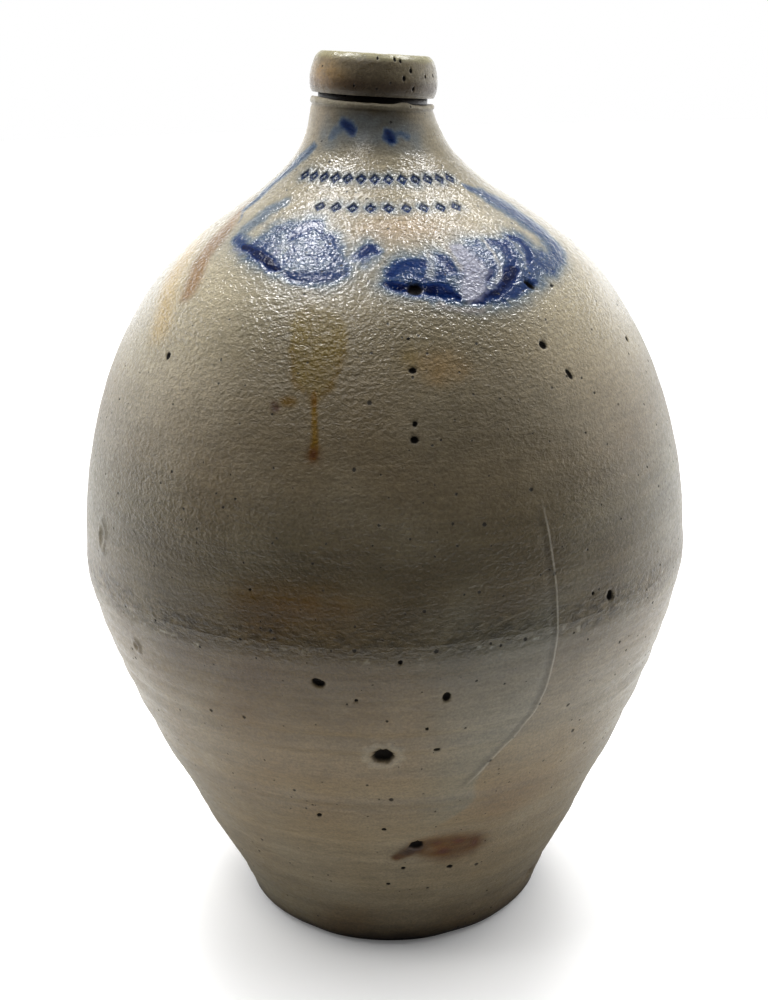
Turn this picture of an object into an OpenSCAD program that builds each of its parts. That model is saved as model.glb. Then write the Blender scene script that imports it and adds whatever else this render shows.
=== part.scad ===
// Salt-glazed stoneware crock jug, ovoid, thrown in two halves.
// The origin is the middle of the base, +Z is up and the decorated front faces -Y.

/* [Lower half] */
// Radius of the base just above its rounded edge
foot_r = 62; // [54:1:68]
// Radius of the rounded edge of the base
foot_edge_r = 4; // [2:0.5:5]
// Height of the steeper band round the foot
foot_band_h = 14; // [10:1:20]
// Radius at the top of the foot band
foot_band_r = 66.5; // [62:0.5:76]
// Height of the seam where the two thrown halves meet
seam_h = 158; // [120:1:190]
// Radius of the belly at the seam
belly_r = 119.3; // [95:0.1:140]
// Thickness of the floor
floor_t = 10; // [7:0.5:14]
// Radius inside, where the floor turns into the wall
floor_fillet_r = 8; // [5:0.5:12]

/* [Upper half] */
// Height from the seam to the top of the neck
shoulder_h = 164; // [130:1:200]
// Radius of the neck at its narrowest
neck_r = 22.4; // [20:0.1:28]
// Thickness of the clay bead round the top of the neck
bead_d = 1.8; // [1:0.1:2.5]
// How far the bead stands out from the neck
bead_out = 0.5; // [0.2:0.1:0.8]

/* [Wall] */
// Thickness of the thrown wall
wall = 7.5; // [5:0.5:10]
// Height of the lip that laps the belly seam inside
lap_h = 6; // [4:0.5:10]
// Clearance round a lap between two clay pieces
lap_gap = 0.2; // [0.1:0.05:0.4]

/* [Mouth] */
// Radius of the straight bore that takes the stopper
bore_r = 13.5; // [10:0.5:14.5]
// Length of the bore below the top of the neck
bore_depth = 16; // [10:1:24]
// Height of the collar
collar_h = 14.1; // [10:0.1:22]
// Radius of the collar at its fullest
collar_r = 23.5; // [22:0.1:29]
// Lean of the collar to the right, in degrees
collar_tilt = 4.9; // [0:0.1:6]
// Height of the open groove under the collar
groove_h = 2.3; // [1:0.1:4]
// Radius at the bottom of the groove
groove_r = 20.2; // [18.5:0.1:21]
// Radius of the neck's spigot inside the collar
spigot_r = 17; // [16:0.1:17.8]
// Height of the spigot above the groove
spigot_h = 5; // [3:0.5:7]
// Radius of the softened edge inside the mouth
lip_edge_r = 1.6; // [0.8:0.1:2.5]

/* [Handle] */
// Distance from the jug's axis to the strap at its farthest
handle_reach = 96; // [84:1:108]
// Height of the handle's foot above the seam
handle_foot_h = 91; // [80:1:100]
// Height of the handle's crown above the seam
handle_crown_h = 164; // [150:1:172]
// Width of the strap at the neck
strap_w = 35; // [26:1:40]
// Width of the strap at its narrowest
strap_end_w = 27; // [20:1:32]
// Thickness of the strap at the neck
strap_t = 10.5; // [7:0.5:13]
// Thickness of the strap towards its foot
strap_end_t = 8.5; // [6:0.5:11]
// Thickness of the slip that lutes the handle on
lute_t = 0.15; // [0.1:0.05:0.3]

/* [Cobalt slip] */
// Thickness of a brush mark in its middle
slip_t = 0.5; // [0.3:0.05:0.9]
// Thickness of a brush mark at its edge
slip_edge_t = 0.12; // [0.1:0.01:0.2]
// Clearance between a brush mark and the wall
slip_gap = 0.12; // [0.08:0.01:0.2]

/* [Hidden] */
$fn = 120;

clay_colour = [0.56, 0.53, 0.47];
collar_colour = [0.52, 0.49, 0.41];
cobalt_colour = [0.19, 0.26, 0.45];

// Steps along a half's outline, an arc, the strap and a brush mark
outline_steps = 40;
arc_steps = 8;
strap_steps = 30;
strap_sides = 24;
mark_steps = 24;
mark_across = 6;

// Shares of the way from foot band to belly, against shares of the height between them
lower_shares = [[0, 0], [0.2, 0.26], [0.4, 0.5], [0.6, 0.72], [0.8, 0.905], [0.92, 0.98], [1, 1]];
// Shares of the way from neck to belly, against shares of the height from seam to neck
upper_shares = [[0, 1], [0.15, 0.977], [0.3, 0.92], [0.45, 0.826], [0.6, 0.678], [0.7, 0.52],
                [0.78, 0.336], [0.84, 0.184], [0.9, 0.076], [0.95, 0.024], [1, 0]];
// Shares of the collar's radius, against shares of its height
collar_shares = [[0, 0.955], [0.1, 0.985], [0.3, 1], [0.5, 0.992], [0.75, 0.955], [0.92, 0.91], [1, 0.86]];
// The strap's middle line: shares of its reach, and of the height from its foot to its crown
strap_path_shares = [[0.14, 0.62], [0.36, 0.9], [0.58, 1], [0.8, 0.9], [0.95, 0.66],
                     [1, 0.4], [0.97, 0.16], [0.88, -0.06]];
// Shares of the strap's narrowing, and of its flare on the shoulder, along its length
strap_taper_shares = [[0, -0.15], [0.2, 0.15], [0.5, 0.7], [0.75, 1], [0.9, 0.85], [1, 0.4]];
// Part of the wall's thickness that the outer half of the belly lap takes
lap_share = 0.5;
// Roundness of the strap's section, 1 for an ellipse and less for a squarer one
strap_round_share = 0.65;
// Step for measuring a slope, as a share of the outline
slope_share = 0.001;

// Brush marks on the shoulder: azimuth from the front in degrees, share of the shoulder's height
swag_left_low_shares = [[-52, 0.742], [-44, 0.726], [-36, 0.708], [-26, 0.7], [-17, 0.68],
                        [-9, 0.678], [-4, 0.686], [-1, 0.71]];
swag_left_high_shares = [[-53, 0.765], [-46, 0.762], [-37, 0.748], [-29, 0.778], [-20, 0.78],
                         [-12, 0.745], [-5, 0.748], [-1, 0.738]];
swag_right_low_shares = [[1, 0.672], [6, 0.66], [12, 0.652], [18, 0.637], [23, 0.623],
                         [30, 0.625], [38, 0.645], [48, 0.655], [57, 0.672], [63, 0.69]];
swag_right_high_shares = [[1, 0.69], [5, 0.722], [12, 0.727], [18, 0.726], [24, 0.738],
                          [30, 0.732], [38, 0.743], [46, 0.738], [55, 0.725], [63, 0.71]];
band_left_out_shares = [[-55, 0.918], [-63, 0.892], [-69, 0.86], [-72, 0.828], [-69.5, 0.797]];
band_left_in_shares = [[-51, 0.908], [-58, 0.882], [-63.5, 0.854], [-66.5, 0.826], [-65, 0.8]];
band_right_out_shares = [[57, 0.818], [63, 0.8], [68, 0.775], [70, 0.75], [69.5, 0.727]];
band_right_in_shares = [[57, 0.806], [61, 0.786], [64, 0.765], [65, 0.745], [63.5, 0.727]];
dab_left_low_shares = [[-40, 0.955], [-33, 0.945], [-26, 0.943], [-19, 0.947], [-14, 0.955]];
dab_left_high_shares = [[-40, 0.962], [-33, 0.969], [-26, 0.972], [-19, 0.968], [-14, 0.96]];
dab_right_low_shares = [[9, 0.946], [14, 0.937], [18, 0.934], [23, 0.938], [28, 0.945]];
dab_right_high_shares = [[9, 0.953], [14, 0.962], [18, 0.965], [23, 0.961], [28, 0.952]];

neck_top_z = seam_h + shoulder_h;
bead_top_z = neck_top_z + bead_d;
bore_bottom_z = neck_top_z - bore_depth;
lap_r = belly_r - wall * lap_share;
inner_belly_r = belly_r - wall;

// Slope of a table of [place, value] pairs at pair i
function table_slope(t, i) =
    let (a = max(i - 1, 0), b = min(i + 1, len(t) - 1))
    (t[b][1] - t[a][1]) / (t[b][0] - t[a][0]);

// Number of the last pair in the table that starts an interval before x
function table_slot(t, x) =
    max([for (i = [0 : len(t) - 2]) if (i == 0 || t[i][0] <= x) i]);

// Smooth curve through a table, a cubic in each interval
function smooth(t, x) =
    let (i = table_slot(t, x), w = t[i + 1][0] - t[i][0], u = (x - t[i][0]) / w)
    (2 * u^3 - 3 * u^2 + 1) * t[i][1] + (u^3 - 2 * u^2 + u) * w * table_slope(t, i)
    + (3 * u^2 - 2 * u^3) * t[i + 1][1] + (u^3 - u^2) * w * table_slope(t, i + 1);

// Smooth curve through a list of pairs, for u from 0 to 1 along the list
function smooth_pair(p, u) =
    let (last = len(p) - 1)
    [for (k = [0, 1]) smooth([for (i = [0 : last]) [i / last, p[i][k]]], u)];

// Outer radius and height at a share s of each half, moved out square to the surface by d
function lower_r(s) = foot_band_r + (belly_r - foot_band_r) * smooth(lower_shares, s);
function upper_r(s) = neck_r + (belly_r - neck_r) * smooth(upper_shares, s);
function moved(r, z, k, d) = [r + d / sqrt(1 + k * k), z - d * k / sqrt(1 + k * k)];
function lower_point(s, d) =
    let (h = seam_h - foot_band_h,
         k = (lower_r(s + slope_share) - lower_r(s - slope_share)) / (2 * slope_share * h))
    moved(lower_r(s), foot_band_h + s * h, k, d);
function upper_point(s, d) =
    let (k = (upper_r(s + slope_share) - upper_r(s - slope_share)) / (2 * slope_share * shoulder_h))
    moved(upper_r(s), seam_h + s * shoulder_h, k, d);

// Arc of a circle in an outline, from one angle to another
function arc(centre, r, from, to) =
    [for (i = [0 : arc_steps])
        let (a = from + (to - from) * i / arc_steps) centre + r * [cos(a), sin(a)]];

// Outer outline of the foot, from its contact circle to the top of the foot band
function foot_outline() = concat(
    arc([foot_r - foot_edge_r, foot_edge_r], foot_edge_r, -90, -15),
    [[foot_band_r, foot_band_h]]);

// Inner wall of the lower half from the fillet up, as [height, radius] pairs
function lower_inside() =
    [for (i = [0 : outline_steps])
        let (p = lower_point(i / outline_steps, -wall))
        if (p[1] > floor_t + floor_fillet_r && p[1] < seam_h) [p[1], p[0]]];

module lower_body() {
    inside = lower_inside();
    fillet_z = floor_t + floor_fillet_r;
    fillet_centre = [lookup(fillet_z, inside) - floor_fillet_r, fillet_z];
    rows = len(inside) - 1;
    color(clay_colour)
    rotate_extrude()
    polygon(concat(
        [[0, 0]],
        foot_outline(),
        [for (i = [1 : outline_steps]) lower_point(i / outline_steps, 0)],
        [[lap_r - lap_gap, seam_h],
         [lap_r - lap_gap, seam_h + lap_h - lap_gap],
         [inner_belly_r, seam_h + lap_h - lap_gap],
         [inner_belly_r, seam_h]],
        [for (i = [0 : rows]) [inside[rows - i][1], inside[rows - i][0]]],
        arc(fillet_centre, floor_fillet_r, 0, -90),
        [[0, floor_t]]));
}

// Share of the shoulder's outline where the cavity turns in to the bore
throat_share = 0.87;

// The collar and what seats it lean together, about the top of the bead
module in_collar_frame() {
    translate([0, 0, bead_top_z]) rotate([0, collar_tilt, 0]) children();
}

module bore() {
    translate([0, 0, bore_bottom_z])
    cylinder(h = bead_top_z + groove_h + collar_h + collar_r - bore_bottom_z, r = bore_r);
}

// Thrown shell of the upper half, open at the belly and still solid at the mouth
module shoulder_shell() {
    throat_step = round(throat_share * outline_steps);
    rotate_extrude()
    polygon(concat(
        [[lap_r, seam_h]],
        [for (i = [0 : outline_steps]) upper_point(i / outline_steps, 0)],
        [[neck_r, bead_top_z + neck_r],
         [0, bead_top_z + neck_r],
         [0, bore_bottom_z],
         [bore_r, bore_bottom_z]],
        [for (i = [0 : throat_step])
            let (p = upper_point((throat_step - i) / outline_steps, -wall))
            if (p[1] > seam_h + lap_h) p],
        [[inner_belly_r, seam_h + lap_h],
         [lap_r, seam_h + lap_h]]));
}

module upper_body() {
    color(clay_colour)
    difference() {
        union() {
            difference() {
                shoulder_shell();
                in_collar_frame() cylinder(h = 2 * neck_r, r = 2 * neck_r);
            }
            in_collar_frame() {
                translate([0, 0, -bead_d / 2])
                rotate_extrude()
                translate([neck_r + bead_out - bead_d / 2, 0])
                circle(d = bead_d, $fn = 32);
                translate([0, 0, -bead_d / 2])
                cylinder(h = bead_d / 2 + groove_h, r = groove_r);
                cylinder(h = groove_h + spigot_h - lap_gap, r = spigot_r);
            }
        }
        bore();
    }
}

module mouth_collar() {
    seat_z = groove_h;
    rim_r = collar_r * collar_shares[len(collar_shares) - 1][1];
    color(collar_colour)
    difference() {
        in_collar_frame()
        difference() {
            translate([0, 0, seat_z])
            rotate_extrude()
            polygon(concat(
                [[0, 0]],
                [for (i = [0 : outline_steps / 2])
                    let (s = 2 * i / outline_steps) [collar_r * smooth(collar_shares, s), collar_h * s]],
                [[rim_r - lip_edge_r, collar_h + lip_edge_r / 4],
                 [bore_r + lip_edge_r, collar_h],
                 [bore_r, collar_h - lip_edge_r],
                 [0, collar_h - lip_edge_r]]));
            translate([0, 0, seat_z - lap_gap])
            cylinder(h = spigot_h + lap_gap, r = spigot_r + lap_gap);
        }
        bore();
    }
}

// Section of the strap: a flat oval with soft edges, w wide and t thick
function strap_section(w, t) =
    [for (i = [0 : strap_sides - 1])
        let (a = 360 * i / strap_sides, c = cos(a), s = sin(a))
        [sign(c) * pow(abs(c), strap_round_share) * w / 2,
         sign(s) * pow(abs(s), strap_round_share) * t / 2]];

// Point of the strap's middle line, as [distance from the axis, height]
function strap_middle(u) =
    let (p = smooth_pair(strap_path_shares, u))
    [p[0] * handle_reach, seam_h + handle_foot_h + p[1] * (handle_crown_h - handle_foot_h)];

// One ring of points round the strap, square to its middle line
function strap_ring(u) =
    let (m = strap_middle(u),
         v = strap_middle(u + slope_share) - strap_middle(u - slope_share),
         n = [-v[1], v[0]] / norm(v),
         k = smooth(strap_taper_shares, u),
         q = strap_section(strap_w + k * (strap_end_w - strap_w), strap_t + k * (strap_end_t - strap_t)))
    [for (p = q) [p[0], m[0] + p[1] * n[0], m[1] + p[1] * n[1]]];

// Closed tube through rings of equal length
module tube_of_rings(rings) {
    n = len(rings[0]);
    last = len(rings) - 1;
    polyhedron(
        points = [for (r = rings) each r],
        faces = concat(
            [for (i = [1 : n - 2]) [0, i + 1, i]],
            [for (i = [1 : n - 2]) [last * n, last * n + i, last * n + i + 1]],
            [for (k = [0 : last - 1]) for (i = [0 : n - 1])
                [k * n + i, k * n + (i + 1) % n, (k + 1) * n + (i + 1) % n]],
            [for (k = [0 : last - 1]) for (i = [0 : n - 1])
                [k * n + i, (k + 1) * n + (i + 1) % n, (k + 1) * n + i]]));
}

module strap_handle() {
    color(clay_colour)
    difference() {
        tube_of_rings([for (k = [0 : strap_steps]) strap_ring(k / strap_steps)]);
        rotate_extrude()
        polygon(concat(
            [[0, seam_h]],
            [for (i = [0 : outline_steps]) upper_point(i / outline_steps, lute_t)],
            [[0, neck_top_z]]));
    }
}

// Ring of points across a brush mark, from its low edge to its high edge and back beneath
function mark_ring(low, high, u) =
    let (a = smooth_pair(low, u), b = smooth_pair(high, u))
    concat(
        [for (j = [0 : mark_across])
            let (v = j / mark_across, q = a + (b - a) * v, edge = sin(180 * v) * sin(180 * u))
            on_shoulder(q, slip_gap + slip_edge_t + (slip_t - slip_edge_t) * edge)],
        [for (j = [0 : mark_across])
            on_shoulder(b + (a - b) * j / mark_across, slip_gap)]);

// Place on the shoulder at an azimuth and a share of its height, d out from the surface
function on_shoulder(q, d) =
    let (p = upper_point(q[1], d))
    [p[0] * sin(q[0]), -p[0] * cos(q[0]), p[1]];

module brush_mark(low, high) {
    tube_of_rings([for (k = [0 : mark_steps]) mark_ring(low, high, k / mark_steps)]);
}

module cobalt_swag_left() {
    color(cobalt_colour) brush_mark(swag_left_low_shares, swag_left_high_shares);
}

module cobalt_swag_right() {
    color(cobalt_colour) brush_mark(swag_right_low_shares, swag_right_high_shares);
}

module cobalt_side_bands() {
    color(cobalt_colour) {
        brush_mark(band_left_in_shares, band_left_out_shares);
        brush_mark(band_right_out_shares, band_right_in_shares);
    }
}

module cobalt_neck_dabs() {
    color(cobalt_colour) {
        brush_mark(dab_left_low_shares, dab_left_high_shares);
        brush_mark(dab_right_low_shares, dab_right_high_shares);
    }
}

lower_body();
upper_body();
mouth_collar();
strap_handle();
cobalt_swag_left();
cobalt_swag_right();
cobalt_side_bands();
cobalt_neck_dabs();
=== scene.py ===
"""Looks of a salt-glazed stoneware jug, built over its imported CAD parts. Lengths here are in mm."""

import math

import bpy
import numpy as np
from mathutils import Matrix, Vector


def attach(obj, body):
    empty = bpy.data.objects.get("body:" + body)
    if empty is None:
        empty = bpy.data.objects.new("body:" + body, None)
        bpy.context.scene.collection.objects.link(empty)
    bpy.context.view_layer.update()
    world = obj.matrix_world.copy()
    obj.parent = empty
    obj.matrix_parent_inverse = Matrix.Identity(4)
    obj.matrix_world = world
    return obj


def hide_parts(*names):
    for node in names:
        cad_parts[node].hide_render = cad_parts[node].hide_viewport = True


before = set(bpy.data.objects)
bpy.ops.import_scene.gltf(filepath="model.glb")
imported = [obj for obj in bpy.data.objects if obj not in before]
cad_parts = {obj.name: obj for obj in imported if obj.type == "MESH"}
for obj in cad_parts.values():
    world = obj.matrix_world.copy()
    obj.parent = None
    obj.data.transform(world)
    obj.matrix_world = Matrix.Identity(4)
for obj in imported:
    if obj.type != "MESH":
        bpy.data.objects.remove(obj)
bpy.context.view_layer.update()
MM = 0.001

# The jug's outline, with the same shares as the CAD source
FOOT_R, FOOT_EDGE_R, BAND_H, BAND_R = 62.0, 4.0, 14.0, 66.5
SEAM_H, BELLY_R, SHOULDER_H, NECK_R = 158.0, 119.3, 164.0, 22.4
WALL, FLOOR_T, FILLET_R = 7.5, 10.0, 8.0
BORE_R, BORE_LOW = 13.5, 306.0
TILT, PIVOT = math.radians(4.9), 323.8
GROOVE_H, GROOVE_R, SPIGOT_R, SPIGOT_H = 2.3, 20.2, 17.0, 5.0
COLLAR_H, COLLAR_R, LIP_R = 14.1, 23.5, 1.6
BEAD_D, BEAD_OUT = 1.8, 0.5
LOWER = [[0, 0], [0.2, 0.26], [0.4, 0.5], [0.6, 0.72], [0.8, 0.905], [0.92, 0.98], [1, 1]]
UPPER = [[0, 1], [0.15, 0.977], [0.3, 0.92], [0.45, 0.826], [0.6, 0.678], [0.7, 0.52],
         [0.78, 0.336], [0.84, 0.184], [0.9, 0.076], [0.95, 0.024], [1, 0]]
COLLAR = [[0, 0.955], [0.1, 0.985], [0.3, 1], [0.5, 0.992], [0.75, 0.955], [0.92, 0.91], [1, 0.86]]
STRAP_PATH = [[0.14, 0.62], [0.36, 0.9], [0.58, 1], [0.8, 0.9], [0.95, 0.66], [1, 0.4], [0.97, 0.16], [0.88, -0.06]]
STRAP_TAPER = [[0, -0.15], [0.2, 0.15], [0.5, 0.7], [0.75, 1], [0.9, 0.85], [1, 0.4]]
REACH, HANDLE_FOOT, HANDLE_CROWN = 96.0, 249.0, 322.0
STRAP_WIDE, STRAP_DEEP, STRAP_EDGE = (35, 27), (10.5, 8.5), 0.65
# Where the neck gives way to the leaning bead, the collar's and spigot's upper ends, and the outline's last height
NECK_TOP, TOP_H, SPIGOT_TOP, OUTLINE_TOP = 321.4, GROOVE_H + COLLAR_H, GROOVE_H + SPIGOT_H, 321.9


def curve(table):
    """Cubic through a table of pairs, as in the CAD source."""
    t = np.array(table, float)
    n = len(t)
    m = np.array([(t[min(i + 1, n - 1), 1] - t[max(i - 1, 0), 1]) / (t[min(i + 1, n - 1), 0] - t[max(i - 1, 0), 0])
                  for i in range(n)])

    def at(x):
        x = np.asarray(x, float)
        i = np.clip(np.searchsorted(t[:, 0], x, "right") - 1, 0, n - 2)
        w = t[i + 1, 0] - t[i, 0]
        u = (x - t[i, 0]) / w
        return ((2 * u**3 - 3 * u**2 + 1) * t[i, 1] + (u**3 - 2 * u**2 + u) * w * m[i]
                + (3 * u**2 - 2 * u**3) * t[i + 1, 1] + (u**3 - u**2) * w * m[i + 1])
    return at


lower_curve, upper_curve, collar_curve = curve(LOWER), curve(UPPER), curve(COLLAR)


def outer_radius(z):
    """Radius of the bare outline at a height."""
    z = np.asarray(z, float)
    low = BAND_R + (BELLY_R - BAND_R) * lower_curve((z - BAND_H) / (SEAM_H - BAND_H))
    up = NECK_R + (BELLY_R - NECK_R) * upper_curve((z - SEAM_H) / SHOULDER_H)
    foot = FOOT_R + (BAND_R - FOOT_R) * np.clip(z / BAND_H, 0, 1)
    return np.where(z < BAND_H, foot, np.where(z < SEAM_H, low, np.where(z < SEAM_H + SHOULDER_H, up, NECK_R)))


def noise(p, size, seed=0):
    """Gradient noise, about -1 to 1, with cells of the given size."""
    q = p / size + np.array([13.7, 7.1, 3.3]) * (seed + 1)
    i = np.floor(q).astype(np.int64)
    f = q - i
    u = f * f * f * (f * (f * 6 - 15) + 10)
    out = np.zeros(q.shape[:-1])
    for k in range(8):
        d = np.array([k & 1, k >> 1 & 1, k >> 2])
        c = i + d
        h = (c[..., 0] * 73856093 ^ c[..., 1] * 19349663 ^ c[..., 2] * 83492791) & 0x7FFFFFFF
        h = (h ^ h >> 13) * 1274126177 & 0x7FFFFFFF
        h ^= h >> 16
        g = f - d
        dot = sum(g[..., j] * ((h >> 8 * j & 255) / 127.5 - 1) for j in range(3))
        w = np.where(d, u, 1 - u)
        out += dot * w[..., 0] * w[..., 1] * w[..., 2]
    return out * 1.5


def step(lo, hi, x):
    """Smooth step from lo to hi, falling where lo is above hi."""
    t = np.clip((x - lo) / (hi - lo), 0, 1)
    return t * t * (3 - 2 * t)


def band(x, a, b, c, d):
    """1 between b and c, falling smoothly to 0 at a and at d."""
    return step(a, b, x) * step(d, c, x)


def bell(x, middle, width, power=2):
    """Bump that is 1 in its middle and 1/e at its width from there."""
    return np.exp(-((x - middle) / width) ** power)


def turned(r, az, z):
    """Points at radii, azimuths (degrees from the front) and heights."""
    a = np.radians(az)
    r, s, c, z = np.broadcast_arrays(r, np.sin(a), np.cos(a), z)
    return np.stack([r * s, -r * c, z], -1)


def cylinder(az, z, r=60.0):
    """Points on a plain cylinder, for noise that doesn't follow the outline."""
    a = np.radians(az)
    return np.stack([r * np.sin(a), r * np.cos(a), z], -1)


def level(z, y):
    """Points for noise that changes with height only."""
    return np.stack([0 * z, 0 * z + y, z], -1)


def along(p, places, radii=1.0, reach=20.0):
    """Distance from points to a line through places (azimuth, height), as a share of its radius, and which side.

    Points further off than the reach get a distance of 99."""
    az, z = zip(*places)
    q = turned(outer_radius(z), az, z)
    radii = np.broadcast_to(np.asarray(radii, float), len(q))
    best, side = np.full(p.shape[:-1], 99.0), np.zeros(p.shape[:-1])
    middle = (q.min(0) + q.max(0)) / 2
    close = np.linalg.norm(p - middle, axis=-1) < np.linalg.norm(q - middle, axis=-1).max() + reach
    if not close.any():
        return best, side
    c, b, s = p[close], best[close], side[close]
    for k in range(len(q) - 1):
        a, v = q[k], q[k + 1] - q[k]
        w = c - a
        t = np.clip((w @ v) / (v @ v), 0, 1)
        off = w - t[..., None] * v
        d = np.linalg.norm(off, axis=-1) / (radii[k] + (radii[k + 1] - radii[k]) * t)
        out = np.array([a[0], a[1], 0]) / math.hypot(a[0], a[1])
        s = np.where(d < b, np.sign(off @ np.cross(v, out)), s)
        b = np.minimum(b, d)
    best[close], side[close] = b, s
    return best, side


def smooth(places, n):
    """Places on a smooth line through the given ones, n for each."""
    q = np.array(places, float)
    t = np.arange(len(q))
    fine = np.linspace(0, len(q) - 1, (len(q) - 1) * n + 1)
    return list(zip(curve(np.c_[t, q[:, 0]])(fine), curve(np.c_[t, q[:, 1]])(fine)))


def stroke(p, places, n, radii=1.0, reach=20.0):
    """As along, for a smooth line through places that each have a radius."""
    radii = np.broadcast_to(np.asarray(radii, float), len(places))
    fine = np.arange((len(places) - 1) * n + 1) / n
    return along(p, smooth(places, n), np.interp(fine, np.arange(len(places)), radii), reach)


def mm_from(az, z, a0, z0):
    """Offsets along the surface in mm, sideways and up, from the place (a0, z0)."""
    slope = (float(outer_radius(z0 + 1)) - float(outer_radius(z0 - 1))) / 2
    return (az - a0) * math.radians(1) * float(outer_radius(z0)), (z - z0) * math.hypot(1, slope)


def inside_of(az, z, places):
    """Signed distance in mm to an outline of (azimuth, height) places, above zero inside."""
    q = np.array(places, float)
    middle = q.mean(0)
    x, y = mm_from(az, z, *middle)
    qx, qy = mm_from(q[:, 0], q[:, 1], *middle)
    best, odd = np.full(x.shape, 1e9), np.zeros(x.shape, bool)
    for i in range(len(q)):
        j = (i + 1) % len(q)
        vx, vy = qx[j] - qx[i], qy[j] - qy[i]
        t = np.clip(((x - qx[i]) * vx + (y - qy[i]) * vy) / (vx * vx + vy * vy), 0, 1)
        best = np.minimum(best, np.hypot(x - qx[i] - t * vx, y - qy[i] - t * vy))
        crosses = (qy[i] > y) != (qy[j] > y)
        odd ^= crosses & (x < qx[i] + (y - qy[i]) * vx / (vy if vy else 1e-9))
    return np.where(odd, best, -best)


def oval(az, z, a0, z0, wide, high, turn=0.0):
    """Distance from a place, as a share of the half-sizes in mm of a turned oval."""
    x, y = mm_from(az, z, a0, z0)
    c, s = math.cos(math.radians(turn)), math.sin(math.radians(turn))
    return np.hypot((c * x + s * y) / wide, (c * y - s * x) / high)


def spot(az, z, a0, z0, wide, high, turn=0.0, hard=2.0):
    """Soft oval round a place, 1 in its middle."""
    return np.exp(-0.7 * oval(az, z, a0, z0, wide, high, turn) ** hard)


# Places on the clay as (azimuth, height), traced
SCRATCH = [(26.9, 203), (27.4, 194), (28, 181), (28.5, 167), (28.4, 152.5), (27.9, 137), (26.3, 124), (22.4, 113),
           (18.1, 103), (15.4, 96), (13.6, 90)]
# Pits: azimuth, height, half width, half height, depth, turn
PITS = [(-1.5, 112.3, 4.1, 3.6, 1.8, 0), (-11.5, 144.3, 2.3, 1.8, 1.1, -20), (8.9, 267.2, 2.7, 2.5, 1.2, 0),
        (39.5, 264.9, 1.3, 2.6, 1.0, 35), (5.4, 63.2, 2.8, 2.6, 1.2, 25), (5.6, 223.9, 1.6, 1.3, 0.9, 0),
        (5.8, 228.6, 1.0, 1.0, 0.6, 0), (6.2, 244.2, 1.5, 1.2, 0.6, 0), (5.9, 253.3, 0.7, 0.6, 0.4, 0),
        (35.2, 247.2, 1.5, 1.8, 0.8, 30), (39.2, 237.0, 1.1, 2.4, 0.5, 20), (65.4, 240.7, 1.2, 1.2, 0.6, 0),
        (40.1, 162.5, 1.6, 2.2, 1.0, 0), (36.1, 165.3, 0.8, 0.9, 0.5, 0), (9.4, 137.2, 1.6, 2.0, 0.8, -20),
        (8.2, 114.2, 1.5, 0.9, 0.6, 0), (1.8, 152.6, 0.9, 1.0, 0.5, 0), (-16, 80.5, 1.1, 1.2, 0.6, 0),
        (-2.1, 74.1, 1.0, 1.1, 0.5, 0), (2.2, 50.1, 1.1, 1.1, 0.5, 0), (14.7, 47.9, 1.3, 1.0, 0.5, 0),
        (-1.9, 40.9, 0.9, 1.0, 0.5, 0), (6.3, 124, 0.8, 0.9, 0.4, 0), (-5.5, 137.5, 0.7, 0.8, 0.4, 0),
        (-49.2, 244.1, 1.3, 1.5, 0.6, 0), (18.9, 104.8, 1.1, 0.6, 0.5, 30), (46.5, 263.5, 1.1, 0.7, 0.4, 0),
        (28.2, 176, 0.7, 0.9, 0.4, 0), (-22.2, 175.8, 0.7, 0.6, 0.3, 0),
        (96, 226, 1.5, 1.3, 0.8, 0), (118, 143, 2.2, 1.7, 1.0, 10), (141, 189, 1.2, 1.0, 0.6, 0),
        (-104, 206, 1.4, 1.4, 0.7, 0), (-127, 121, 1.9, 1.3, 0.9, -15), (-152, 236, 1.3, 1.0, 0.6, 0),
        (163, 88, 1.5, 1.1, 0.7, 0), (-86, 92, 1.1, 0.9, 0.6, 0), (-168, 155, 1.7, 1.5, 0.8, 0),
        (79, 118, 1.2, 1.0, 0.6, 0)]
# Blisters: azimuth, height, half width, half height
BLISTERS = [(-60.5, 177.5, 3.3, 5.2), (-50.6, 141.0, 2.4, 2.6), (84, 171, 2.6, 2.8), (-118, 166, 2.8, 3.2)]
# Outlines of the cobalt pools
SWAG_LEFT = [(-51, 279.9), (-52.9, 281.5), (-43.8, 279.5), (-40.6, 281.3), (-40.1, 283.9), (-36.9, 285.8),
             (-30.6, 286.6), (-26.1, 287.3), (-20.6, 287.1), (-15.8, 283.4), (-12.4, 282.3), (-11.3, 279.5),
             (-8.7, 278.4), (-6.9, 275.3), (-7, 271.7), (-8.6, 270.1), (-12.3, 269.1), (-16.6, 269), (-21.4, 269.8),
             (-25.3, 271.2), (-29.2, 272.3), (-33.5, 273.1), (-40, 275.2), (-47.6, 278)]
SWAG_LEFT_BLOB = [(-7.8, 277.0), (-5.3, 279.9), (-2.6, 280.8), (-0.4, 279.4), (-0.5, 276.9), (-2.7, 274.3),
                  (-5.4, 274.2), (-7.4, 275.2)]
SWAG_RIGHT = [(0.4, 269.1), (2.2, 272.6), (4.3, 275.3), (6.7, 276.7), (14, 276.7), (18.1, 277.2), (21, 276.2),
              (24, 278.6), (27.1, 279.2), (35.1, 278.8), (40, 279.4), (46, 280), (50, 279.6), (51.9, 277.4),
              (52.2, 274), (56, 272.6), (61.5, 273.2), (62.6, 271.6), (57.8, 268.6), (50.5, 266.3), (44.9, 265),
              (38.5, 262.9), (33.3, 261), (27.9, 260.4), (22.4, 260.5), (18.8, 261.7), (15.3, 263.3), (11.8, 264.7),
              (7.5, 265.6), (3.8, 266.7), (1.3, 267.9)]
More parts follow.
